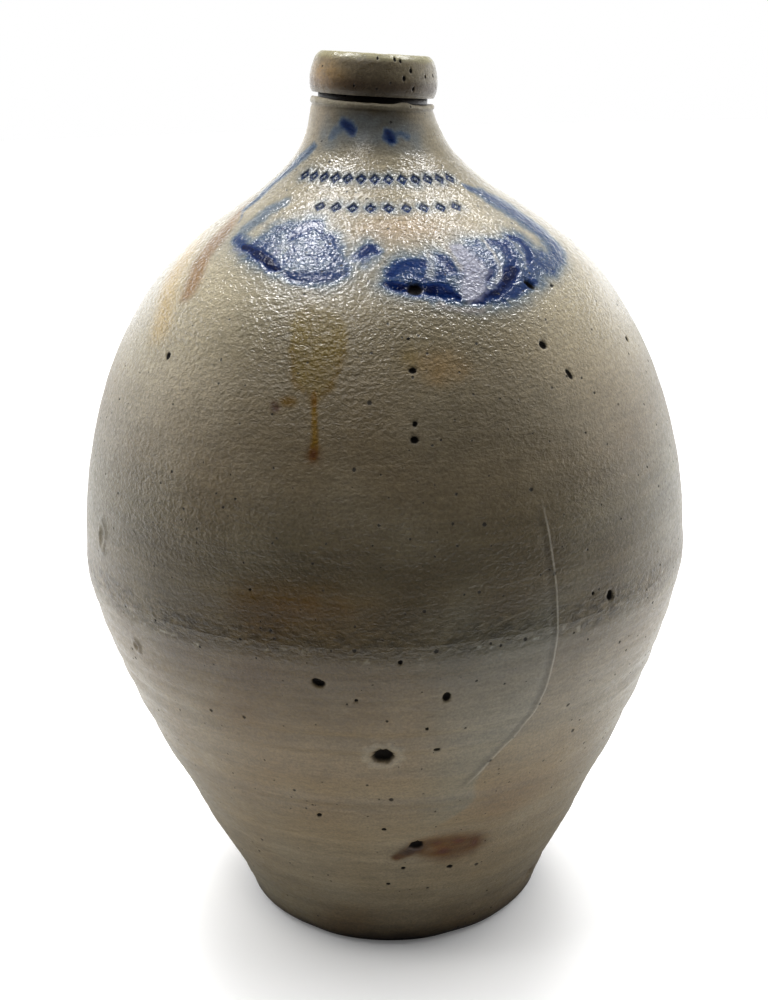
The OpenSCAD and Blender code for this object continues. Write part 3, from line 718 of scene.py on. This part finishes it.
class Nodes:
    """Short calls for making a node tree."""

    def __init__(self, tree):
        self.tree = tree
        tree.nodes.clear()

    def add(self, kind, inputs=(), **settings):
        """A node with its settings, and its inputs linked or set."""
        node = self.tree.nodes.new("ShaderNode" + kind)
        for key, value in settings.items():
            setattr(node, key, value)
        for key, value in dict(inputs).items():
            if isinstance(value, Output):
                self.tree.links.new(value.socket, node.inputs[key])
            else:
                node.inputs[key].default_value = value
        return node

    def outputs(self, kind, inputs=(), **settings):
        """All the outputs of a new node, by name."""
        return {s.name: Output(self, s) for s in self.add(kind, inputs, **settings).outputs}

    def value(self, kind, inputs=(), output=0, **settings):
        """One output of a new node."""
        return Output(self, self.add(kind, inputs, **settings).outputs[output])

    def math(self, op, a, b, clamp=False):
        return self.value("Math", {0: a, 1: b}, operation=op, use_clamp=clamp)

    def mix(self, amount, a, b, blend_type="MIX"):
        """Colour between a and b, where b is an output or a linear colour."""
        b = b if isinstance(b, Output) else (*b, 1)
        return self.value("Mix", {0: amount, 6: a, 7: b}, 2, data_type="RGBA", blend_type=blend_type)

    def grey(self, shade):
        return self.value("CombineColor", {0: shade, 1: shade, 2: shade})

    def span(self, x, lo, hi, a=0.0, b=1.0):
        """Smooth change from a to b while x goes from lo to hi."""
        return self.value("MapRange", {0: x, 1: lo, 2: hi, 3: a, 4: b}, interpolation_type="SMOOTHSTEP")

    def field(self, name, output="Fac"):
        """A field that the mesh carries."""
        return self.value("Attribute", (), output, attribute_name=name, attribute_type="GEOMETRY")

    def noise(self, at, scale, detail=2.0, rough=0.5, distortion=0.0):
        return self.value("TexNoise", {"Vector": at, "Scale": scale, "Detail": detail, "Roughness": rough,
                                       "Distortion": distortion})

    def stretched(self, at, *scale):
        return self.value("VectorMath", {0: at, 1: scale}, operation="MULTIPLY")


def new_material(name):
    m = bpy.data.materials.new(name)
    m.use_nodes = True
    return m, Nodes(m.node_tree)


def salt_glaze(name, gloss=0.0):
    """Salt-glazed clay: colour from the surface's tint, orange peel, black specks and fine streaks."""
    m, k = new_material(name)
    at = k.value("TexCoord", output="Object")
    peel_at = k.stretched(at, 0.8, 0.8, 1.15)
    peel, cobalt, wet, pit, scratch, ends = map(k.field, ("peel", "cobalt", "wet", "pit", "scratch", "scratch_ends"))
    grain, streak = k.noise(at, 1100, 3, 0.6), k.noise(k.stretched(at, 0.2, 0.2, 1.0), 800, 3, 0.6)
    # Orange peel: soft pebbles with wavy ridges between them
    pebble, wave = k.noise(peel_at, 620, 2.5, 0.58, 0.2), k.noise(peel_at, 640, 0, 0.5, 0.5)
    ridge = k.math("SUBTRACT", 1.0, abs((wave - 0.5) * 5.0), clamp=True)
    # Specks of two sizes: burnt iron and pinholes
    jitter = k.value("TexNoise", {"Vector": at, "Scale": 1500.0, "Detail": 1.0}, "Color")
    speck_at = k.value("VectorMath", {0: jitter, 1: (0.0006, 0.0006, 0.0006), 2: at}, operation="MULTIPLY_ADD")
    specks = []
    for scale, size, share in ((120.0, 0.095, 0.45), (230.0, 0.12, 0.30)):
        cell = k.outputs("TexVoronoi", {"Vector": speck_at, "Scale": scale}, feature="F1")
        pick = k.outputs("SeparateColor", {0: cell["Color"]})
        edge = cell["Distance"] / ((pick["Green"] + 0.35) * size)
        specks.append(k.span(edge, 1.0, 0.55) * k.math("GREATER_THAN", pick["Red"], share))
    specks = k.math("MAXIMUM", *specks)
    burnt = k.span(pit, 1.12, 0.72)
    # The scratch: a thin pale lip, with painted shadow in the soft dark furrow on its right
    lip = k.span(abs(scratch), 0.60, 0.10) * ends
    furrow_shadow = k.span(scratch, 0.3, 1.0) * k.span(scratch, 4.2, 1.0) * ends
    shade = k.span(grain, 0.25, 0.75, 0.80, 1.20) * k.span(streak, 0.3, 0.7, 0.91, 1.08)
    colour = k.mix(1.0, k.field("tint", "Vector"), k.grey(shade), "MULTIPLY")
    for amount, over in ((burnt * 0.98, BURNT), (specks * 0.85, srgb(20, 16, 14)), (furrow_shadow * 0.34, srgb(58, 50, 40)),
                         (lip * 0.28, srgb(196, 190, 176))):
        colour = k.mix(amount, colour, over)
    height = (pebble + ridge * 0.12) * peel + grain * 0.18 + streak * 0.14 + lip * 0.16 - specks * 0.20
    bump = k.value("Bump", {"Height": height, "Strength": 1.0, "Distance": 0.00054})
    rough = k.math("ADD", k.span(wet, 0.0, 1.0, 0.44 - gloss, 0.10), (wave - 0.5) * 0.25, clamp=True)
    rough = k.math("ADD", rough, k.math("MAXIMUM", burnt, specks) * 0.5, clamp=True)
    shine = (k.span(cobalt, 0.45, 0.8, 0.5, 0.22) * k.span(pit, 0.72, 1.12, 0.2, 1.0)
             * k.span(wet, 0.45, 0.9, 1.0, 1.9))
    shader = k.value("BsdfPrincipled", {"Base Color": colour, "Roughness": rough, "Specular IOR Level": shine,
                                        "Normal": bump})
    k.add("OutputMaterial", {0: shader})
    return m


body_clay, collar_clay, strap_clay, cobalt_slip = (salt_glaze(name, gloss) for name, gloss in (
    ("salt_glazed_clay", 0.0), ("collar_clay", 0.08), ("strap_clay", 0.02), ("cobalt_slip", 0.1)))


# ---------------------------------------------------------------- surfaces
def glazed(path, az=AZ):
    """The body's outside: its bare points, how far the clay stands out there, and all the fields."""
    p = rings_of(path, az)
    az, z = np.broadcast_to(az, p.shape[:2]), p[..., 2]
    out, scratch, pit, halo = relief_of(p, az, z)
    cobalt, milk = cobalt_of(p, az, z)
    # The orange peel is strongest on the shoulder and the left of the belly, and dense cobalt lies smooth
    shoulder = 1.1 * band(z, 205, 262, 300, 314)
    belly = 0.92 * band(z, 160, 200, 245, 268) * step(60, 5, az)
    peel = 0.12 + 0.98 * np.maximum(shoulder, belly) * (1 - 0.30 * step(25, 60, az))
    peel += 0.24 * band(z, 140, 170, 200, 225) + 0.5 * bell(z, 159, 6)
    peel = np.clip(peel * (1 + 0.45 * noise(p, 22, 31)), 0.06, 1.5) * (1 - 0.72 * step(0.42, 0.8, cobalt))
    # The glaze is wettest on the shoulder, and duller where the cobalt is dense or milky
    wet = 0.15 + (0.72 + 0.25 * noise(p, 16, 34)) * band(z, 225, 268, 300, 320)
    wet = np.clip(wet - 0.10 * step(0.45, 0.8, cobalt) - 0.30 * milk, 0, 1)
    return p, out, fields_of(tint_of(p, az, z, cobalt, milk, halo), peel=peel, cobalt=cobalt, wet=wet, pit=pit,
                             scratch=scratch, scratch_ends=band(z, 90, 102, 192, 203))


def fields_of(tint, peel=0.25, cobalt=0.0, wet=0.0, pit=9.0, scratch=12.0, scratch_ends=0.0):
    """The fields that the clay's material reads, each an array or one value for all points."""
    others = {"peel": peel, "cobalt": cobalt, "wet": wet, "pit": pit, "scratch": scratch, "scratch_ends": scratch_ends}
    return {"tint": tint} | {key: np.broadcast_to(value, tint.shape[:2]) for key, value in others.items()}


def skin(path):
    """Rows of the body's outside."""
    _, out, fields = glazed(path)
    return moved(path, out), fields


def plain(points, tint, **others):
    """Rows that carry one colour, with soft mottling."""
    tone = tint * (1 + 0.10 * noise(points, 14, 41) + 0.06 * noise(points, 3.5, 42))[..., None]
    return points, fields_of(tone, **others)


def inner_wall(path, rough):
    """Rows of the inside, with finger rings."""
    flat = rings_of(path)
    _, fields = plain(flat, INSIDE, wet=0.1, peel=0.1)
    return moved(path, rough * noise(level(flat[..., 2] + 3 * AZ / 360, 1), 8, 51)), fields


# Lower half, from the middle of the base up the outside, over the seam's rim and down the inside
base = rings_of([[8, 0.5], [20, 0.55], [36, 0.6], [48, 0.5], [54, 0.15], [57.4, 0]])
foot_edge = arc(FOOT_R - FOOT_EDGE_R, FOOT_EDGE_R, FOOT_EDGE_R, -90, -15, 9)
z = np.concatenate([np.linspace(3.4, BAND_H, 60), np.linspace(BAND_H, SEAM_H, 900)[1:]])
lower_path = resampled(np.concatenate([foot_edge, outline(z)]), ROW)
inner = inner_outline(FLOOR_T + FILLET_R, SEAM_H, 300)[::-1]
fillet = arc(inner[-1, 0] - FILLET_R, FLOOR_T + FILLET_R, FILLET_R, 0, -90, 10)
inner = np.concatenate([[[BELLY_R - WALL, SEAM_H]], inner[inner[:, 1] < SEAM_H - 0.3][:-1], fillet, [[6, FLOOR_T]]])
seam_row = len(base) + len(lower_path) - 1
build("lower_body", body_clay,
      [plain(base, srgb(120, 104, 82), peel=0.2), skin(lower_path), inner_wall(resampled(inner, 3.5), 0.25)],
      poles=[(0, 0, 0.5), (0, 0, FLOOR_T)], sharp=(seam_row, seam_row + 1))

# Upper half, from the seam up to the spigot, down the bore and back along the inside
upper_path = resampled(outline(np.linspace(SEAM_H, NECK_TOP, 1200)), ROW)
upper_path[0], upper_path[-1] = (BELLY_R, SEAM_H), (NECK_R, NECK_TOP)
shoulder, shoulder_fields = skin(upper_path)
# The neck's rings come to lie in the leaning plane of the collar
shoulder[..., 2] -= shoulder[..., 0] * math.tan(TILT) * step(312, NECK_TOP, upper_path[:, 1:])
# The bead, the groove's floor and the spigot, in the collar's frame
bead = arc(NECK_R + BEAD_OUT - BEAD_D / 2, -BEAD_D / 2, BEAD_D / 2, -62, 96, 14)
wavy = 0.16 * (noise(cylinder(AZ, 0 * AZ, 22), 3.2, 61) + 0.6 * noise(cylinder(AZ, 0 * AZ, 22), 9, 62))
lift = 0.8 * bell(AZ, -72, 34) + 0.75 * bell(AZ, 29, 8)
out, up = wavy * step(-1.9, -0.9, bead[:, 1:]), (wavy + lift) * step(-1.2, 0.0, bead[:, 1:])
bead_rows = rings_of(bead) + turned(out, AZ, up)
groove = rings_of([[GROOVE_R + 0.5, -0.15], [GROOVE_R + 0.1, 0.1], [GROOVE_R, 0.5], [GROOVE_R, GROOVE_H - 0.1],
                   [GROOVE_R - 0.3, GROOVE_H], [SPIGOT_R + 0.2, GROOVE_H], [SPIGOT_R, GROOVE_H + 0.2],
                   [SPIGOT_R, SPIGOT_TOP - 0.4], [SPIGOT_R - 0.3, SPIGOT_TOP - 0.2]])
bore_top = in_collar_frame(rings_of([[BORE_R, SPIGOT_TOP - 0.2]]))[0, :, 2]
inner = inner_outline(SEAM_H + 0.3, 301, 400)
inner = inner[(inner[:, 1] > SEAM_H + 0.2) & (inner[:, 1] < 293)][::-1]
inner = np.concatenate([[[BORE_R, BORE_LOW]], inner, [[BELLY_R - WALL, SEAM_H]]])
build("upper_body", body_clay,
      # The bead's paler colour is a painted highlight
      [(shoulder, shoulder_fields), plain(in_collar_frame(bead_rows), srgb(150, 140, 118), wet=0.15, peel=0.3),
       # The groove's floor is near black with painted shade
       plain(in_collar_frame(groove), srgb(40, 32, 24), peel=0.2),
       plain(bore(bore_top, BORE_LOW, np.linspace(0, 1, 10)), INSIDE), inner_wall(resampled(inner, 3.0), 0.2)],
      sharp=(0, -1))

# The collar: a leaning ring with a straight bore, from its underside up the outside, over the lip and down
# Pits of the collar: azimuth, height over its foot, radius
COLLAR_PITS = [(19, 12.9, 0.65), (24.5, 12.4, 0.6), (34.4, 9.3, 0.7), (27.2, 6.6, 0.75), (37.3, 3.2, 0.6),
               (52, 7.6, 0.5), (66, 8.0, 0.5), (-17, 3.2, 0.4), (2.5, 13.0, 0.5), (128, 8.5, 0.6), (-120, 5, 0.6),
               (170, 10, 0.5)]
s = np.linspace(0, 1, 56)
side = np.stack([COLLAR_R * collar_curve(s), GROOVE_H + COLLAR_H * s], -1)
rim_r = side[-1, 0]
under = rings_of([[SPIGOT_R + 0.3, GROOVE_H + 0.3], [SPIGOT_R + 0.5, GROOVE_H + 0.02], [19.4, GROOVE_H],
                  [21.6, GROOVE_H + 0.02], [22.2, GROOVE_H + 0.12]])
top = [[rim_r - 0.35, TOP_H + 0.30], [rim_r - LIP_R, TOP_H + 0.42], [BORE_R + 3.4, TOP_H + 0.25],
       [BORE_R + LIP_R, TOP_H - 0.1]]
mouth = in_collar_frame(rings_of([[BORE_R + 0.5, TOP_H - 0.7], [BORE_R + 0.1, TOP_H - 1.4]]))
outside = resampled(np.concatenate([side, top]), 0.5)
flat = rings_of(outside)
h = flat[..., 2] - GROOVE_H
ring_at = level(h + 0.5 * noise(flat, 30, 71), 4)
by = 0.14 * noise(flat, 26, 72) + 0.10 * noise(ring_at, 2.6, 73) + 0.06 * noise(flat, 3.0, 74)
by -= 0.35 * bell(h, 14.3, 0.7) * np.clip(noise(flat, 5, 75), 0, 1)
pit = np.full(h.shape, 9.0)
for a0, h0, r in COLLAR_PITS:
    d = np.hypot((AZ - a0) * math.radians(1) * 23.2, (h - h0) * 0.75) / r
    pit = np.minimum(pit, d)
    by -= 0.4 * step(1.2, 0.4, d)
scorch = bell(np.hypot((AZ + 52) / 22, (h - 6.5) / 4.5), 0, 1)
tone = layered(
    np.broadcast_to(srgb(116, 106, 84), flat.shape),
    (blend, srgb(126, 116, 94), 0.6 + 0.5 * noise(flat, 12, 76)),
    (blend, srgb(92, 77, 62), 0.8 * bell(h, 3.4, 2.6) * (1 + 0.4 * noise(flat, 9, 77))),
    (blend, srgb(152, 148, 108), 0.5 * step(11.2, 13.4, h + 0.5 * noise(flat, 6, 78))),
    (blend, srgb(160, 118, 50), 0.75 * scorch * (0.8 + 0.5 * noise(flat, 4, 79))),
    # Painted shade over the collar's front, below its top
    (stain, (0.66, 0.63, 0.62), step(42, 8, np.abs(AZ + 4)) * step(13.5, 10.5, h)))
tone = tone * (1 + 0.08 * noise(ring_at, 1.5, 80) + 0.05 * noise(flat, 2.5, 81))[..., None]
bottom = in_collar_frame(rings_of([[BORE_R, SPIGOT_TOP + 0.1]]))[0, :, 2]
seat = rings_of([[SPIGOT_R + 0.1, SPIGOT_TOP + 0.1], [SPIGOT_R + 0.25, SPIGOT_TOP - 0.3]])
build("mouth_collar", collar_clay,
      # The collar's underside is darkened with painted shade
      [plain(in_collar_frame(under), srgb(66, 55, 42)),
       (in_collar_frame(moved(outside, by)), fields_of(tone, peel=0.22, wet=0.22, pit=pit)),
       plain(mouth, srgb(140, 128, 104), wet=0.2),
       plain(bore(mouth[-1, :, 2], bottom, np.linspace(0.06, 1, 8)), INSIDE), plain(in_collar_frame(seat), INSIDE)],
      sharp=(4, 5))


# The strap handle: a pulled strap with finger ridges, thumbed on at both ends
def strap():
    """Rows round the strap from its foot to the neck, with their fields."""
    count, sides = ((150, 96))
    t, u = np.linspace(0, 1, len(STRAP_PATH)), np.linspace(0, 1, count)
    y, z = (curve(np.c_[t, column])(u) for column in np.transpose(STRAP_PATH))
    y, z = y * REACH, HANDLE_FOOT + z * (HANDLE_CROWN - HANDLE_FOOT)
    d = np.stack([np.gradient(y), np.gradient(z)], -1)
    d /= np.linalg.norm(d, axis=1, keepdims=True)
    normal = np.stack([0 * u, -d[:, 1], d[:, 0]], -1)[:, None]
    taper = curve(STRAP_TAPER)(u)
    flare = np.exp(-np.clip(y - outer_radius(np.clip(z, SEAM_H, OUTLINE_TOP)) - 3, 0, 60) / 5.5)
    wide = (STRAP_WIDE[0] + taper * (STRAP_WIDE[1] - STRAP_WIDE[0])) * (1 + 0.10 * flare)
    deep = (STRAP_DEEP[0] + taper * (STRAP_DEEP[1] - STRAP_DEEP[0])) * (1 + 0.16 * flare)
    # A rounded box in section, with two ridges and a hollow between them on its outer side
    c, s = (f(2 * math.pi * np.arange(sides) / sides) for f in (np.cos, np.sin))
    across, up = (np.sign(x) * np.abs(x) ** STRAP_EDGE for x in (c, s))
    outer = step(0.0, 0.3, up / 2)
    wander = 0.04 * np.sin(u * 5)[:, None]
    ridge = (0.55 * (bell(across - 0.42 - wander, 0, 0.16) + bell(across + 0.44 - wander, 0, 0.15))
             - 0.35 * bell(across - wander, 0, 0.28))
    thumb = bell(u, 0.93, 0.035)[:, None] * bell(across, 0, 0.5)
    off = up / 2 * deep[:, None] + outer * (ridge * (0.4 + 0.6 * band(u, 0, 0.2, 0.82, 1))[:, None] - 1.3 * thumb)
    P = np.stack(np.broadcast_arrays(across / 2 * wide[:, None], y[:, None], z[:, None]), -1) + off[..., None] * normal
    P += 0.35 * noise(P, 30, 91)[..., None] * normal
    # Whatever would lie inside the wall stays just under its skin
    r, h = np.hypot(P[..., 0], P[..., 1]), np.clip(P[..., 2], SEAM_H, OUTLINE_TOP)
    slope = outer_radius(h + 0.5) - outer_radius(h - 0.5)
    m = np.hypot(1, slope)
    depth = (outer_radius(h) - r) / m
    push = np.clip(depth - 0.6, 0, None) / m
    P += np.stack([push * P[..., 0] / r, push * P[..., 1] / r, -push * slope], -1)
    hug = np.clip(1 - np.abs(depth) / 5, 0, 1) * (depth < 0.6)
    tone = layered(
        np.broadcast_to(CLAY, P.shape),
        (stain, BROWN, 0.5 + 0.6 * noise(P, 25, 92)),
        (blend, CLAY_PALE, 0.6 * outer * np.clip(0.5 + noise(P, 12, 93), 0, 1)),
        (stain, BROWN, 0.9 * hug + 0.6 * (1 - outer)),
        (stain, BLUE, 0.8 * np.clip(noise(P, 30, 96), 0, 1)))
    tone = tone * (1 + 0.07 * noise(P * (1, 0.3, 0.3), 1.6, 94) + 0.06 * noise(P, 5, 95))[..., None]
    return P, fields_of(tone, peel=0.55, wet=0.3 * outer)


rows, fields = strap()
build("strap_handle", strap_clay, [(rows[:, ::-1], {key: f[:, ::-1] for key, f in fields.items()})],
      poles=[rows[0].mean(0), rows[-1].mean(0)])


def slip(node, window, height, shapes=(), gap=0.30):
    """Raised pool of cobalt slip over a window of azimuths and heights, ending just under the clay's skin."""
    a0, a1, z0, z1 = window
    path = resampled(outline(np.linspace(z0, z1, 600)), gap)
    az = np.linspace(a0, a1, int((a1 - a0) * math.radians(1) * float(outer_radius((z0 + z1) / 2)) / gap) + 1)
    flat, out, fields = glazed(path, az)
    rows, cols = flat.shape[:2]
    warp = np.stack([noise(flat, 5.5, s) + 0.5 * noise(flat, 2.4, s + 4) for s in (1, 2, 3)], -1)
    wa = az + warp[..., 0] * 1.3 * 40 / np.maximum(np.hypot(flat[..., 0], flat[..., 1]), 20)
    wh = flat[..., 2] + warp[..., 2] * 0.6
    reach = np.full((rows, cols), -9.0)
    for places in shapes:
        reach = np.maximum(reach, inside_of(wa, wh, places))
    for places, radii, _ in STROKES[node]:
        reach = np.maximum(reach, (1.1 - along(flat + warp * 0.75, places, radii)[0]) * np.mean(radii))
    lip = step(-0.3, 2.6, reach)
    up = -0.12 + (0.12 + height * (0.55 + 0.45 * fields["cobalt"]) + 0.05 * noise(flat, 2.2, 97)) * lip
    P = moved(path, out + np.where(fields["pit"] < 1.4, -0.12, up), az)
    normal = outward(path)
    under = P - 0.25 * turned(normal[:, :1], az, normal[:, 1:])
    # Top and underside of the cells that the slip reaches, and walls where such a cell has no neighbour
    keep = reach > -0.9
    cell = keep[:-1, :-1] | keep[1:, :-1] | keep[:-1, 1:] | keep[1:, 1:]
    at = np.arange(rows * cols).reshape(rows, cols)
    corners = np.stack([at[:-1, :-1], at[:-1, 1:], at[1:, 1:], at[1:, :-1]], -1)
    faces = [corners[cell], corners[cell][:, ::-1] + rows * cols]
    padded = np.pad(cell, 1)
    for dr, dc, i, j in ((-1, 0, 0, 1), (1, 0, 2, 3), (0, 1, 1, 2), (0, -1, 3, 0)):
        q = corners[cell & ~padded[1 + dr:rows + dr, 1 + dc:cols + dc]]
        faces.append(np.stack([q[:, j], q[:, i], q[:, i] + rows * cols, q[:, j] + rows * cols], -1))
    used, loops = np.unique(np.concatenate(faces), return_inverse=True)
    loops = loops.ravel()
    u, v = np.meshgrid(np.linspace(0.01, 0.99, cols), np.linspace(0.01, 0.98, rows))
    grid = np.stack([u, v], -1).reshape(-1, 2)
    uv = np.concatenate([grid * (1, 0.98), grid * (1, 0.005) + (0, 0.985)])[used][loops]
    fields = {key: np.concatenate([f.reshape(rows * cols, -1)] * 2)[used] for key, f in fields.items()}
    add_piece(node, cobalt_slip, np.concatenate([P.reshape(-1, 3), under.reshape(-1, 3)])[used], loops,
              np.arange(0, len(loops), 4), uv, fields)


slip("cobalt_swag_left", (-58, 3, 264, 291), 0.20, (SWAG_LEFT, SWAG_LEFT_BLOB))
slip("cobalt_swag_right", (-3, 67, 256, 284), 0.22, (SWAG_RIGHT,))
slip("cobalt_side_bands", (-78, 72, 265, 312), 0.16, gap=0.4)
slip("cobalt_neck_dabs", (-46, 62, 287, 320), 0.16, gap=0.35)

# ---------------------------------------------------------------- floor, light, camera
bpy.ops.mesh.primitive_circle_add(vertices=128, radius=6, fill_type="NGON", location=(0, 0, 0))
floor = bpy.context.active_object
floor.name = "studio_floor"
floor_material, k = new_material("studio_floor")
floor.data.materials.append(floor_material)
seen = k.value("BsdfDiffuse", {"Color": (0.95, 0.945, 0.94, 1)})
glow = k.value("Emission", {"Color": (1, 1, 1, 1), "Strength": 0.08})
# For rays other than the camera's, the tabletop is pale near the jug and behind it and darker further off in front,
# where the room is dark, with painted shadow round the jug's foot and ahead of the jug; this is what the lower half
# mirrors
at = k.value("TexCoord", output="Object")
away = k.value("VectorMath", {0: at}, "Value", operation="LENGTH")
behind = k.outputs("SeparateXYZ", {0: at})["Y"]
shade = k.math("MAXIMUM", k.span(away, 0.55, 0.34, 0.30, 0.86), k.span(behind, -0.05, 0.15, 0.0, 0.95))
# Painted shadow round the jug's foot and ahead of the jug
shade = shade * k.span(away, 0.08, 0.20, 0.30, 1.0) * k.span(behind, -0.40, -0.28, 0.06, 1.0)
rest = k.value("BsdfDiffuse", {"Color": k.grey(shade)})
shader = k.value("MixShader", {0: k.value("LightPath", output="Is Camera Ray"), 1: rest,
                               2: k.value("AddShader", {0: seen, 1: glow})})
k.add("OutputMaterial", {0: shader})

world = bpy.data.worlds.new("studio")
bpy.context.scene.world = world
world.use_nodes = True
k = Nodes(world.node_tree)
toward = k.outputs("SeparateXYZ", {0: k.value("TexCoord", output="Generated")})
# The room behind the camera is dark; the studio behind the jug is bright, and brighter still in the glaze
sky = k.span(toward["Y"], -0.42, 0.03, 0.03, 2.0) * k.span(toward["Z"], 0.15, 0.75, 0.74, 1.4)
sky = k.math("MAXIMUM", sky, k.span(toward["Z"], 0.76, 0.96, 0.0, 1.9))
mirrored = k.span(toward["Y"], -0.30, 0.25, 0.03, 1.9) * k.span(toward["Z"], 0.10, 0.45, 1.0, 0.14)
paths = k.outputs("LightPath")
strength = k.value("Mix", {0: paths["Is Glossy Ray"], 2: sky, 3: mirrored}, data_type="FLOAT")
light = k.value("Background", {"Color": (0.98, 0.99, 1, 1), "Strength": strength})
white = k.value("Background", {"Color": (1, 1, 1, 1), "Strength": 1.0})
k.add("OutputWorld", {0: k.value("MixShader", {0: paths["Is Camera Ray"], 1: light, 2: white})})


def lamp(name, place, aim, size, power, colour=(1, 1, 1)):
    """A rectangular lamp at a place, turned to its aim. Places are in metres and the power is in watts."""
    data = bpy.data.lights.new(name, "AREA")
    data.shape, data.size, data.size_y, data.energy, data.color = "RECTANGLE", *size, power, colour
    ob = linked(name, data)
    ob.location = place
    ob.rotation_euler = (Vector(aim) - Vector(place)).to_track_quat("-Z", "Y").to_euler()
    ob.visible_camera = False


lamp("window_left", (-0.38, 0.30, 1.34), (0, 0, 0.28), (0.32, 0.25), 6.6)
lamp("window_right", (0.50, 0.42, 1.31), (0, 0, 0.28), (0.30, 0.24), 5.2)
lamp("lamp_front", (-0.30, -0.52, 1.33), (0, 0, 0.26), (0.16, 0.16), 1.8, (1, 0.98, 0.94))

CAMERA_PLACE, CAMERA_DOWN, CAMERA_ROLL = (0, -0.5085, 0.3407), math.radians(18.725), math.radians(-1.65)
camera_data = bpy.data.cameras.new("photo_camera")
camera_data.lens, camera_data.sensor_width = 47.52, 36
camera_data.clip_start, camera_data.clip_end = 0.01, 50
camera = linked("photo_camera", camera_data)
camera.matrix_world = (Matrix.Translation(CAMERA_PLACE) @ Matrix.Rotation(math.radians(90) - CAMERA_DOWN, 4, "X")
                       @ Matrix.Rotation(CAMERA_ROLL, 4, "Z"))
bpy.context.scene.camera = camera
bpy.context.scene.view_settings.view_transform = "Standard"
